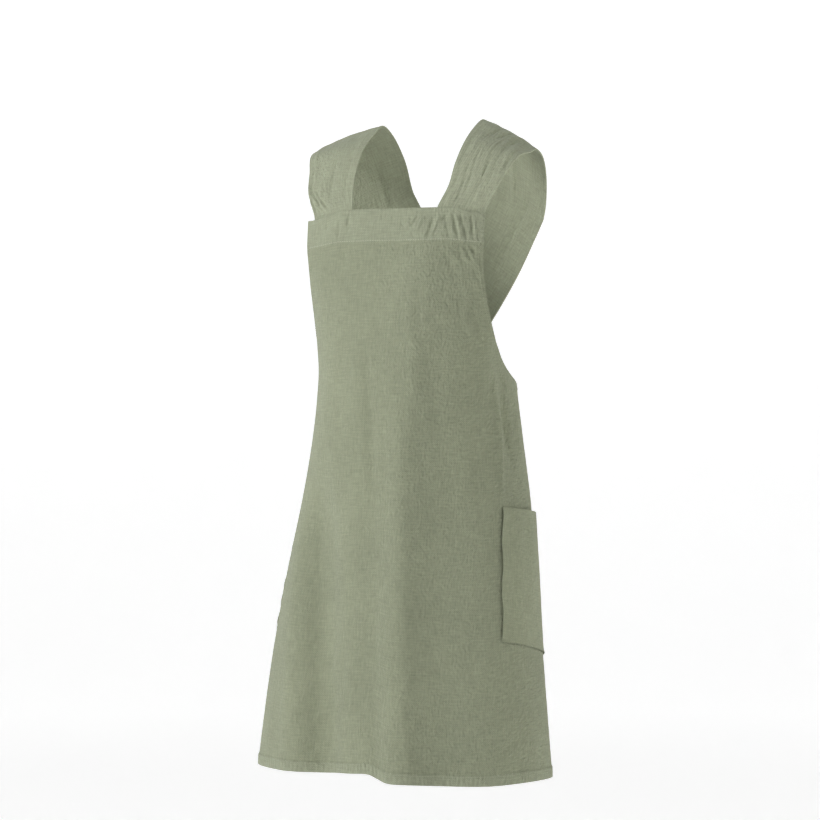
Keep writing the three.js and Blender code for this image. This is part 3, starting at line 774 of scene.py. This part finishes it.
def strap_grid(name):
    """The middle layer of a strap on the wearer's left, and the row of each line of points."""
    _, upper, side_lean, lift = STRAPS[name]
    across = np.linspace(0, 1, STRAP_COLUMNS + 1)
    stations = strap_stations(side_lean, lift, upper, across)
    arch_rows = (len(stations) - 2) * STATION_ROWS
    rows = np.linspace(0, arch_rows + BACK_ROWS, (arch_rows + BACK_ROWS) * STRAP_STEPS + 1)
    lines = [
        through(stations, row / STATION_ROWS)
        if row < arch_rows
        else strap_back(upper, (row - arch_rows) / BACK_ROWS, across)
        for row in rows
    ]
    return np.array(lines), rows, across, arch_rows


def strap_lines(name, rows, length, width):
    """The creases and gathers of a strap, with their ends in millimetres across and along."""
    seeded = np.random.default_rng(len(name))
    table = list(STRAP_CREASES[name])
    count, depth = STRAP_GATHERS[name]
    start = len(TUCK_SHARES) * STATION_ROWS - GATHER_START
    for i in range(count):
        share = (i + 0.5 + seeded.uniform(-0.25, 0.25)) / count
        end = start + seeded.uniform(1.8, 4.2)
        deep = -seeded.uniform(0.5, 1.1) * depth
        half, bow = seeded.uniform(1.3, 2.0), seeded.uniform(-1, 1)
        table.append((start, share, end, share, half, deep, bow))
    made = []
    for row0, share0, row1, share1, half, deep, bow in table:
        x0 = (share0 - 0.5) * np.interp(row0, rows, width)
        x1 = (share1 - 0.5) * np.interp(row1, rows, width)
        y0, y1 = np.interp((row0, row1), rows, length)
        made.append((x0, y0, x1, y1, half, deep, bow))
    return made


def strap_sheet(name, depth):
    """One strap with its crown, its gathers and its creases."""
    side = STRAPS[name][0]
    middle, rows, across, arch_rows = strap_grid(name)
    normal = -unit(np.cross(np.gradient(middle, axis=0), np.gradient(middle, axis=1)))
    steps = np.linalg.norm(np.diff(middle, axis=0), axis=-1).mean(1)
    length = np.concatenate([[0], np.cumsum(steps)])
    width = np.linalg.norm(np.diff(middle, axis=1), axis=-1).sum(1)
    place_along = length[:, None] + 0 * middle[..., 0]
    place_across = (across - 0.5) * width[:, None]
    tuck_rows = len(TUCK_SHARES) * STATION_ROWS
    crown = ease(rows, tuck_rows - 2, tuck_rows + 4) * (1 - ease(rows, arch_rows - 4, arch_rows))
    creased = crease_height(place_across, place_along, strap_lines(name, rows, length, width))
    creased += soft_waves(place_across, place_along, *STRAP_WAVES[name])
    shown = depth * ease(rows, tuck_rows - 2.2, tuck_rows - 1.0)
    height = STRAP_BULGE * crown[:, None] * (1 - (2 * across - 1) ** 2) + shown[:, None] * creased
    outer = middle + normal * (height + STRAP / 2)[..., None]
    outer[..., 0] *= side
    if side > 0:
        grids = outer, place_across, place_along
        outer, place_across, place_along = (grid[:, ::-1] for grid in grids)
    return cloth_sheet(name + "_cloth", outer, STRAP, place_across, place_along)


def pocket_sheet(name, depth, lift):
    """A patch pocket on the panel, with its mouth standing open and its front edge lifted."""
    side, front = POCKETS[name]
    turn = math.degrees(POCKET_WIDTH / POCKET_RADIUS)
    rows, columns = np.linspace(0, 1, POCKET_ROWS + 1), np.linspace(0, 1, POCKET_COLUMNS + 1)
    down, across = np.meshgrid(rows, columns, indexing="ij")
    slope = np.tan(np.radians(blend_between(MOUTH_TILT, BASE_TILT, down)))
    drop = POCKET_DROP + down * POCKET_HEIGHT + across * POCKET_WIDTH * slope
    gape = POCKET_GAPE * (1 - down) * np.sin(np.pi * across)
    wavy = 0.7 + 0.3 * np.sin(down * 31) * np.sin(down * 12 + 1)
    edge = lift * bell(across * POCKET_WIDTH / POCKET_LIFT_WIDTH) * wavy
    edge = edge * ease(down, -0.03, 0.07) * (1 - ease(down, 0.95, 1.0))
    base = 0.45 * lift * bell((1 - down) * POCKET_HEIGHT / 4)
    out = CLOTH / 2 + LAY_GAP + gape + np.maximum(edge, base) + CLOTH
    angle = side * (front + across * turn + 0.35 * bell(across * 6) * np.sin(down * 17 + 0.6))
    points = dressed_point(angle, drop, out, depth)
    places = across * POCKET_WIDTH, down * POCKET_HEIGHT
    if side < 0:
        points, places = points[:, ::-1], [grid[:, ::-1] for grid in places]
    return cloth_sheet(name + "_cloth", points, CLOTH, *places)


def level_sheet(name, drops, thickness, columns, side_columns, depth, bump):
    """A sheet along the cloth between two drops, raised by a function of across and drop."""
    count = np.arange(-columns / 2 - side_columns, columns / 2 + side_columns + 1)
    drop = drops[:, None] + 0 * count
    angle = np.stack([column_angle(count, row, columns, max(side_columns, 1)) for row in drop])
    across = across_length(angle, drop)
    points = dressed_point(angle, drop, CLOTH / 2 + bump(across, drop), depth)
    return cloth_sheet(name, points, thickness, across, drop)


def band_edges(across, drop):
    """The band's edges roll in a little, and its stitching draws a shallow groove."""
    up = BAND_BOTTOM - drop
    rolled = 0.35 * bell(up / 0.6) + 0.5 * bell((drop - BIB_DROP) / 0.8)
    return 0.45 - rolled - 0.25 * bell((up - BAND_STITCH) / 1.0)


def hem_puckers(height):
    """Small regular puckers that the stitching draws along the hem."""

    def bump(across, drop):
        down = (drop - (APRON_LENGTH - HEM_HEIGHT)) / HEM_HEIGHT
        wander = 1.6 * np.sin(across / 37) + 1.1 * np.sin(across / 23 + 2)
        rib = np.sin(2 * np.pi * (across + wander) / PUCKER_LENGTH)
        rib = rib * np.sin(np.pi * np.clip(down, 0, 1)) ** 0.7
        rib = rib * (1 - ease(down, 0.6, 0.9))
        groove = bell((down * HEM_HEIGHT - HEM_STITCH) / 1.0)
        turned = 1.2 * bell((down * HEM_HEIGHT - HEM_STITCH) / 3.2)
        return height * (rib - 0.9 * groove + turned + 0.9)

    return bump


def thread(name, lines, length, gap, diameter, material):
    """Stitches along lines of points, each a small bowed tube whose ends sink into the cloth.
    A line is its points and the outward normal at each."""
    # Rings of the tube: place along, rise and size, as shares of the length and the diameter
    rings = ((-0.46, -0.5, 0.6), (-0.25, 0.35, 1.0), (0.25, 0.35, 1.0), (0.46, -0.5, 0.6))
    sides = np.arange(6) * math.pi / 3
    template = [(-0.5, 0.0, -0.8)]
    for along, rise, size in rings:
        half = size * 0.5
        template += [(along, half * math.cos(a), rise + half * math.sin(a)) for a in sides]
    template = np.array(template + [(0.5, 0.0, -0.8)]) * (length, diameter, diameter)
    faces = [(0, 1 + (k + 1) % 6, 1 + k) for k in range(6)]
    for ring in range(3):
        for k in range(6):
            low, high = 1 + 6 * ring, 7 + 6 * ring
            faces.append((low + k, low + (k + 1) % 6, high + (k + 1) % 6, high + k))
    last = len(template) - 1
    faces += [(last, last - 6 + k, last - 6 + (k + 1) % 6) for k in range(6)]
    places, quads = [], []
    for points, normals in lines:
        steps = np.linalg.norm(np.diff(points, axis=0), axis=1)
        distance = np.concatenate([[0], np.cumsum(steps)])

        def read(values, place):
            return np.array([np.interp(place, distance, values[:, k]) for k in range(3)])

        for middle in np.arange(length / 2 + gap, distance[-1] - length / 2, length + gap):
            here, before, after = (read(points, middle + d) for d in (0, -length / 2, length / 2))
            normal = unit(read(normals, middle))
            forward = unit(after - before)
            aside = np.cross(normal, forward)
            base = len(places) * len(template)
            places.append(here + template @ np.stack([forward, aside, normal]))
            quads += [tuple(base + v for v in face) for face in faces]
    mesh = bpy.data.meshes.new(name)
    mesh.from_pydata((np.concatenate(places) / 1000).tolist(), [], quads)
    mesh.materials.append(material)
    mesh.polygons.foreach_set("use_smooth", np.ones(len(mesh.polygons), bool))
    piece = bpy.data.objects.new(name, mesh)
    bpy.context.scene.collection.objects.link(piece)
    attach(piece, "root")
    return piece


def line_on_cloth(angle, drop, outwards, depth):
    """A line of points on the creased cloth and its outward normals."""
    points = dressed_point(angle, drop, outwards, depth)
    higher = dressed_point(angle, drop, outwards + 1.0, depth)
    return points, unit(higher - points)


def add_node(tree, kind, settings=None, **inputs):
    """Adds a node with its settings, and links or sets its inputs by name or as i and a number."""
    made = tree.nodes.new(kind)
    for key, value in (settings or {}).items():
        setattr(made, key, value)
    for key, value in inputs.items():
        numbered = key[0] == "i" and key[1:].isdigit()
        socket = made.inputs[int(key[1:]) if numbered else key.replace("_", " ")]
        if isinstance(value, bpy.types.NodeSocket):
            tree.links.new(value, socket)
        else:
            socket.default_value = value
    return made


def surface(name):
    """A new material with its node tree and its shader."""
    material = bpy.data.materials.new(name)
    material.use_nodes = True
    tree = material.node_tree
    return material, tree, tree.nodes["Principled BSDF"]


# Threads of a plain linen weave lie about 0.5 mm apart. They are drawn 3 mm apart, as coarse
# as the weave shows at the size of the picture.
THREAD_SPACING = 0.003
SLUB_WIDTH = 0.0021  # a thick place in a thread, drawn as coarse as the picture shows
SLUB_LENGTH = 0.02
CRINKLE = 0.0036  # size of the small crinkles that washing leaves
MOTTLE = 0.09  # size of the soft uneven patches of the dye
SHADE_RANGE = (0.42, 0.93)  # of the mixed noise, from the darkest to the lightest cloth
DARK, LIGHT = 0.9, 1.1  # darkest and lightest cloth, as shares of its colour
BACKDROP_COLOUR = "#f4f4f4"


def washed_linen(name, colour, weave_depth, crinkle_depth):
    """Plain-woven linen, piece dyed and garment washed: dry and matt, with fine slubs both
    ways, small crinkles that catch the light and a little uneven dye."""
    material, tree, shader = surface(name)
    uv = add_node(tree, "ShaderNodeUVMap", {"uv_map": "weave"}).outputs[0]

    def stretched(width, height, detail):
        size = (1 / width, 1 / height, 1)
        scaled = add_node(tree, "ShaderNodeVectorMath", {"operation": "MULTIPLY"}, i0=uv, i1=size)
        noise = add_node(
            tree, "ShaderNodeTexNoise", i0=scaled.outputs[0], Scale=1.0, Detail=detail
        )
        return noise.outputs["Fac"]

    def combine(operation, *values):
        inputs = {f"i{k}": value for k, value in enumerate(values)}
        return add_node(tree, "ShaderNodeMath", {"operation": operation}, **inputs).outputs[0]

    def spread(value, span, result):
        limits = {"From_Min": span[0], "From_Max": span[1], "To_Min": result[0], "To_Max": result[1]}
        return add_node(tree, "ShaderNodeMapRange", Value=value, **limits).outputs[0]

    warp_slubs = stretched(SLUB_WIDTH, SLUB_LENGTH, 2.0)
    weft_slubs = stretched(SLUB_LENGTH, SLUB_WIDTH, 2.0)
    crinkles = stretched(CRINKLE, CRINKLE * 1.4, 3.0)
    mottle = stretched(MOTTLE, MOTTLE * 1.6, 2.0)
    slubs = combine("ADD", warp_slubs, weft_slubs)

    parts = add_node(tree, "ShaderNodeSeparateXYZ", i0=uv)
    turn = 2 * math.pi / THREAD_SPACING
    over = combine("SINE", combine("MULTIPLY", parts.outputs[0], turn))
    under = combine("SINE", combine("MULTIPLY", parts.outputs[1], turn))
    weave = combine("MULTIPLY", over, under)

    shade = combine("MULTIPLY_ADD", slubs, 0.5, combine("MULTIPLY", weave, 0.12))
    shade = combine("MULTIPLY_ADD", mottle, 0.35, shade)
    share = spread(shade, SHADE_RANGE, (0.0, 1.0))
    ramp = add_node(tree, "ShaderNodeValToRGB", Fac=share)
    ramp.color_ramp.elements[0].color = (*linear(shifted(colour, DARK)), 1)
    ramp.color_ramp.elements[1].color = (*linear(shifted(colour, LIGHT)), 1)
    ramp.color_ramp.elements.new(0.5).color = (*linear(colour), 1)
    tree.links.new(ramp.outputs[0], shader.inputs["Base Color"])

    rough = combine("MULTIPLY_ADD", slubs, 0.08, 0.82)
    tree.links.new(rough, shader.inputs["Roughness"])
    # The wearer's left side is more rumpled than the right
    rumpled = spread(parts.outputs[0], (-0.03, 0.07), (0.45 * crinkle_depth, crinkle_depth))
    height = combine("MULTIPLY_ADD", crinkles, rumpled, combine("MULTIPLY", weave, weave_depth))
    height = combine("MULTIPLY_ADD", slubs, weave_depth * 2, height)
    bump = add_node(tree, "ShaderNodeBump", Strength=1.0, Distance=1.0, Height=height)
    tree.links.new(bump.outputs[0], shader.inputs["Normal"])
    shader.inputs["Sheen Weight"].default_value = 0.12
    shader.inputs["Sheen Roughness"].default_value = 0.5
    shader.inputs["Specular IOR Level"].default_value = 0.25
    return material


def spun_thread(name, colour):
    """Spun polyester sewing thread in two plies: a soft shine along the twist."""
    material, tree, shader = surface(name)
    place = add_node(tree, "ShaderNodeTexCoord").outputs["Object"]
    # The plies turn about every 0.4 mm; they are drawn every 1.2 mm to show at all.
    twist = add_node(tree, "ShaderNodeTexNoise", i0=place, Scale=1 / 0.0012, Detail=1.0)
    ramp = add_node(tree, "ShaderNodeValToRGB", Fac=twist.outputs["Fac"])
    base = linear(colour)
    ramp.color_ramp.elements[0].color = (*(0.86 * c for c in base), 1)
    ramp.color_ramp.elements[1].color = (*(min(1.08 * c, 1) for c in base), 1)
    tree.links.new(ramp.outputs[0], shader.inputs["Base Color"])
    shader.inputs["Roughness"].default_value = 0.6
    shader.inputs["Sheen Weight"].default_value = 0.2
    return material


def cyclorama_paint(name, colour, glow):
    """Matt white studio paint, evenly lit all round, so that it gives a soft light itself."""
    material, tree, shader = surface(name)
    place = add_node(tree, "ShaderNodeTexCoord").outputs["Object"]
    uneven = add_node(tree, "ShaderNodeTexNoise", i0=place, Scale=0.6, Detail=1.0)
    ramp = add_node(tree, "ShaderNodeValToRGB", Fac=uneven.outputs["Fac"])
    ramp.color_ramp.elements[0].color = (*(0.985 * c for c in linear(colour)), 1)
    ramp.color_ramp.elements[1].color = (*linear(colour), 1)
    tree.links.new(ramp.outputs[0], shader.inputs["Base Color"])
    tree.links.new(ramp.outputs[0], shader.inputs["Emission Color"])
    shader.inputs["Emission Strength"].default_value = glow
    shader.inputs["Roughness"].default_value = 0.95
    return material


def length_prop(name, words, default, low, high):
    return bpy.props.FloatProperty(
        name=name, description=words, default=default, min=low, max=high, unit="LENGTH"
    )


def power_prop(name, words, default):
    return bpy.props.FloatProperty(
        name=name, description=words, default=default, min=0.0, unit="POWER"
    )


def colour_prop(name, words, default):
    words = words + ", as #rrggbb"
    return bpy.props.StringProperty(name=name, description=words, default=default)


class ApronSizes(bpy.types.PropertyGroup):
    """Sizes of the cloth's relief and of the stitching."""

    crease_depth: bpy.props.FloatProperty(
        name="Crease depth",
        description="Depth of the creases, as a share of the depth drawn",
        default=1.0,
        min=0.0,
        max=1.5,
        subtype="FACTOR",
    )
    pucker_height: length_prop(
        "Hem puckers", "Height of the puckers along the hem", 0.00045, 0.0, 0.001
    )
    pocket_lift: length_prop(
        "Pocket edge lift", "How far the front edge of a pocket stands off the panel", 0.0026, 0.0, 0.004
    )
    stitch_length: length_prop("Stitch length", "Length of one stitch", 0.0034, 0.002, 0.006)
    stitch_gap: length_prop("Stitch gap", "Gap between two stitches", 0.0005, 0.0003, 0.003)
    thread_diameter: length_prop(
        "Thread diameter", "Thickness of the sewing thread", 0.0007, 0.0003, 0.0012
    )


class ApronColours(bpy.types.PropertyGroup):
    """Colours of the cloths and the threads."""

    panel: colour_prop("Panel linen", "Colour of the panel's linen", "#8b9078")
    # The band and hem linen is drawn a little lighter than the panel's: painted light, as falls on the
    # band across the top of the bib
    double: colour_prop("Double linen", "Colour of the band and the hem", "#90957e")
    # The strap linen is drawn lighter than the panel's: painted light, as falls from above and the left
    # on the shoulders
    strap: colour_prop("Strap linen", "Colour of the straps", "#999e86")
    pocket: colour_prop("Pocket linen", "Colour of the pockets", "#8b9078")
    band_thread: colour_prop("Band thread", "Colour of the thread under the band", "#abae97")
    seam_thread: colour_prop("Seam thread", "Colour of the thread of the other seams", "#9a9f86")


class StudioSettings(bpy.types.PropertyGroup):
    """The lights and the backdrop."""

    key_power: power_prop("Key light", "Power of the large light at the front left", 69.0)
    fill_power: power_prop("Fill light", "Power of the soft light at the right", 25.0)
    glow: bpy.props.FloatProperty(
        name="Backdrop glow",
        description="How brightly the backdrop is lit all round",
        default=0.51,
        min=0.0,
        max=2.0,
    )
    floor_drop: length_prop(
        "Floor", "Distance from the shoulder line down to the floor", 1.42, 1.0, 10.0
    )


def linens():
    """The three linens and the two threads, made once."""
    colours = bpy.context.scene.apron_colours
    if "washed_linen_panel" not in bpy.data.materials:
        shades = {
            "washed_linen_panel": (colours.panel, 0.0002, 0.0048),
            # painted light: the band and hem linen drawn a little lighter than the panel's
            "washed_linen_double_painted_light": (colours.double, 0.0002, 0.0038),
            # painted light: the strap linen drawn lighter than the panel's
            "washed_linen_strap_painted_light": (colours.strap, 0.0002, 0.0036),
            "washed_linen_pocket": (colours.pocket, 0.0002, 0.0034),
        }
        for name, (colour, weave_depth, crinkle_depth) in shades.items():
            washed_linen(name, colour, weave_depth, crinkle_depth)
        spun_thread("spun_thread_band", colours.band_thread)
        spun_thread("spun_thread_seams", colours.seam_thread)
    return bpy.data.materials


class APRON_OT_panel(bpy.types.Operator):
    """Makes the wrapped panel"""

    bl_idname = "apron.panel"
    bl_label = "Panel"

    def execute(self, context):
        depth = context.scene.apron_sizes.crease_depth
        angles, drops, present = panel_grid()
        points = dressed_point(angles, drops, CLOTH / 2, depth)
        across = across_length(angles, drops)
        piece = cloth_sheet("panel_cloth", points, CLOTH, across, drops, present)
        dress(piece, "panel", linens()["washed_linen_panel"])
        return {"FINISHED"}


class APRON_OT_band(bpy.types.Operator):
    """Makes the band along the bib"""

    bl_idname = "apron.band"
    bl_label = "Bib band"

    def execute(self, context):
        depth = context.scene.apron_sizes.crease_depth
        drops = np.linspace(BIB_DROP, BAND_BOTTOM, BAND_ROWS + 1)
        piece = level_sheet("bib_band_cloth", drops, BAND, BAND_COLUMNS, 0, depth, band_edges)
        dress(piece, "bib_band", linens()["washed_linen_double_painted_light"])
        return {"FINISHED"}


class APRON_OT_straps(bpy.types.Operator):
    """Makes both straps"""

    bl_idname = "apron.straps"
    bl_label = "Straps"

    def execute(self, context):
        for name in STRAPS:
            piece = strap_sheet(name, context.scene.apron_sizes.crease_depth)
            dress(piece, name, linens()["washed_linen_strap_painted_light"])
        return {"FINISHED"}


class APRON_OT_hem(bpy.types.Operator):
    """Makes the turned hem"""

    bl_idname = "apron.hem"
    bl_label = "Hem"

    def execute(self, context):
        sizes = context.scene.apron_sizes
        depth = sizes.crease_depth
        drops = np.linspace(APRON_LENGTH - HEM_HEIGHT, APRON_LENGTH, HEM_ROWS + 1)
        bump = hem_puckers(sizes.pucker_height * 1000)
        columns = HEM_MIDDLE_COLUMNS, HEM_SIDE_COLUMNS
        piece = level_sheet("hem_cloth", drops, HEM, *columns, depth, bump)
        dress(piece, "hem", linens()["washed_linen_double_painted_light"])
        return {"FINISHED"}


class APRON_OT_pockets(bpy.types.Operator):
    """Makes the patch pockets"""

    bl_idname = "apron.pockets"
    bl_label = "Pockets"

    def execute(self, context):
        sizes = context.scene.apron_sizes
        for name in POCKETS:
            piece = pocket_sheet(name, sizes.crease_depth, sizes.pocket_lift * 1000)
            dress(piece, name, linens()["washed_linen_pocket"])
        return {"FINISHED"}


class APRON_OT_stitches(bpy.types.Operator):
    """Makes the lines of stitches"""

    bl_idname = "apron.stitches"
    bl_label = "Stitches"

    def execute(self, context):
        sizes = context.scene.apron_sizes
        depth = sizes.crease_depth
        lengths = sizes.stitch_length, sizes.stitch_gap, sizes.thread_diameter
        length, gap, diameter = (1000 * value for value in lengths)
        found = linens()

        edge = float(edge_angle(BAND_BOTTOM))
        angle = np.linspace(-0.985 * edge, 0.985 * edge, BAND_LINE_POINTS)
        drop = np.full(angle.shape, BAND_BOTTOM - BAND_STITCH)
        line = line_on_cloth(angle, drop, CLOTH / 2 + STITCH_RISE, depth)
        band = thread("band_stitches", [line], length, gap, diameter, found["spun_thread_band"])

        drop = np.full(HEM_LINE_POINTS, APRON_LENGTH - HEM_HEIGHT + HEM_STITCH)
        edge = float(edge_angle(APRON_LENGTH)) - 1.0
        angle = np.linspace(-edge, edge, HEM_LINE_POINTS)
        sunk = hem_puckers(sizes.pucker_height * 1000)(across_length(angle, drop), drop)
        line = line_on_cloth(angle, drop, CLOTH / 2 + sunk + STITCH_RISE, depth)
        hem = thread("hem_stitches", [line], length, gap, diameter, found["spun_thread_seams"])

        lines = []
        for side in (1, -1):
            drop = np.linspace(BAND_BOTTOM + 4, APRON_LENGTH - HEM_HEIGHT - 2, EDGE_LINE_POINTS)
            edge = edge_angle(drop)
            points = dressed_point(edge, drop, CLOTH / 2, depth)
            slope = np.gradient(points, axis=0)
            inwards = ARM_STITCH / np.linalg.norm(slope, axis=1)
            turned = cloth_middle(edge + 0.5, drop) - cloth_middle(edge - 0.5, drop)
            per_degree = np.linalg.norm(turned, axis=1)
            across_step, down_step = np.gradient(edge) * per_degree, np.gradient(drop)
            angle = edge - inwards * down_step / per_degree
            line = line_on_cloth(side * angle, drop + inwards * across_step, CLOTH / 2, depth)
            lines.append(line)
        edges = thread("edge_stitches", lines, length, gap, diameter, found["spun_thread_seams"])
        return {"FINISHED"}


def place_at(data, aim, away):
    """Puts a light or camera away from the aim and turns it there."""
    made = bpy.data.objects.new(data.name, data)
    made.location = Vector(aim + away)
    made.rotation_euler = (Vector(aim) - made.location).to_track_quat("-Z", "Y").to_euler()
    bpy.context.scene.collection.objects.link(made)
    return made


class APRON_OT_studio(bpy.types.Operator):
    """Makes the round backdrop, the lights and the camera"""

    bl_idname = "apron.studio"
    bl_label = "Studio"

    def execute(self, context):
        studio = context.scene.apron_studio
        bpy.ops.object.select_all(action="DESELECT")
        middle = (0, 0, BACKDROP_HEIGHT / 2 - studio.floor_drop)
        bpy.ops.mesh.primitive_cylinder_add(
            vertices=96, radius=BACKDROP_RADIUS, depth=BACKDROP_HEIGHT, location=middle
        )
        floor = context.object
        floor.name = "backdrop"
        bpy.ops.object.mode_set(mode="EDIT")
        bpy.ops.mesh.select_mode(type="FACE")
        bpy.ops.mesh.select_all(action="DESELECT")
        bpy.ops.object.mode_set(mode="OBJECT")
        for face in floor.data.polygons:
            face.select = face.center.z > 0.4 * BACKDROP_HEIGHT
        bpy.ops.object.mode_set(mode="EDIT")
        bpy.ops.mesh.delete(type="FACE")
        bpy.ops.object.mode_set(mode="OBJECT")
        rounded = floor.modifiers.new("rounded", "BEVEL")
        rounded.width = BACKDROP_ROUNDING
        rounded.segments = 12
        rounded.angle_limit = math.radians(60)
        apply_modifiers(floor)
        bpy.ops.object.transform_apply(location=True, rotation=True, scale=True)
        bpy.ops.object.mode_set(mode="EDIT")
        bpy.ops.mesh.select_all(action="SELECT")
        bpy.ops.mesh.normals_make_consistent(inside=True)
        bpy.ops.object.mode_set(mode="OBJECT")
        bpy.ops.object.shade_smooth()
        paint = cyclorama_paint("cyclorama_paint", BACKDROP_COLOUR, studio.glow)
        floor.data.materials.append(paint)

        turn = math.radians(CAMERA_TURN)
        aim = np.array((AIM_SIDE * math.cos(turn), AIM_SIDE * math.sin(turn), AIM_HEIGHT))
        lights = (("key", studio.key_power, KEY_LIGHT), ("fill", studio.fill_power, FILL_LIGHT))
        for name, power, (azimuth, elevation, size, colour) in lights:
            data = bpy.data.lights.new(name, "AREA")
            data.energy, data.size, data.color = power, size, colour
            a, e = math.radians(azimuth), math.radians(elevation)
            place = (math.sin(a) * math.cos(e), -math.cos(a) * math.cos(e), math.sin(e))
            place_at(data, aim, LIGHT_DISTANCE * np.array(place))

        data = bpy.data.cameras.new("camera")
        data.lens = SENSOR * CAMERA_PIXELS / PICTURE
        data.sensor_width = SENSOR
        place = (math.sin(turn), -math.cos(turn), 0)
        context.scene.camera = place_at(data, aim, CAMERA_DISTANCE * np.array(place))

        world = bpy.data.worlds.new("studio")
        world.use_nodes = True
        background = world.node_tree.nodes["Background"]
        background.inputs["Color"].default_value = (1, 1, 1, 1)
        background.inputs["Strength"].default_value = WORLD_STRENGTH
        context.scene.world = world
        context.scene.view_settings.view_transform = "Standard"
        return {"FINISHED"}


class APRON_PT_panel(bpy.types.Panel):
    """The apron's sizes, colours, pieces and studio"""

    bl_label = "Cross back apron"
    bl_idname = "APRON_PT_panel"
    bl_space_type = "VIEW_3D"
    bl_region_type = "UI"
    bl_category = "Apron"

    def draw(self, context):
        scene = context.scene
        for group in (scene.apron_sizes, scene.apron_colours, scene.apron_studio):
            for name in group.__annotations__:
                self.layout.prop(group, name)
        for operator in OPERATORS:
            self.layout.operator(operator.bl_idname)


GROUPS = (ApronSizes, ApronColours, StudioSettings)
OPERATORS = (
    APRON_OT_straps,
    APRON_OT_band,
    APRON_OT_panel,
    APRON_OT_hem,
    APRON_OT_pockets,
    APRON_OT_stitches,
    APRON_OT_studio,
)


def register():
    for made in (*GROUPS, *OPERATORS, APRON_PT_panel):
        bpy.utils.register_class(made)
    bpy.types.Scene.apron_sizes = bpy.props.PointerProperty(type=ApronSizes)
    bpy.types.Scene.apron_colours = bpy.props.PointerProperty(type=ApronColours)
    bpy.types.Scene.apron_studio = bpy.props.PointerProperty(type=StudioSettings)


def unregister():
    del bpy.types.Scene.apron_studio
    del bpy.types.Scene.apron_colours
    del bpy.types.Scene.apron_sizes
    for made in reversed((*GROUPS, *OPERATORS, APRON_PT_panel)):
        bpy.utils.unregister_class(made)


def main():
    register()
    bpy.ops.apron.straps()
    bpy.ops.apron.band()
    bpy.ops.apron.panel()
    bpy.ops.apron.hem()
    bpy.ops.apron.pockets()
    bpy.ops.apron.stitches()
    bpy.ops.apron.studio()


if __name__ == "__main__":
    main()
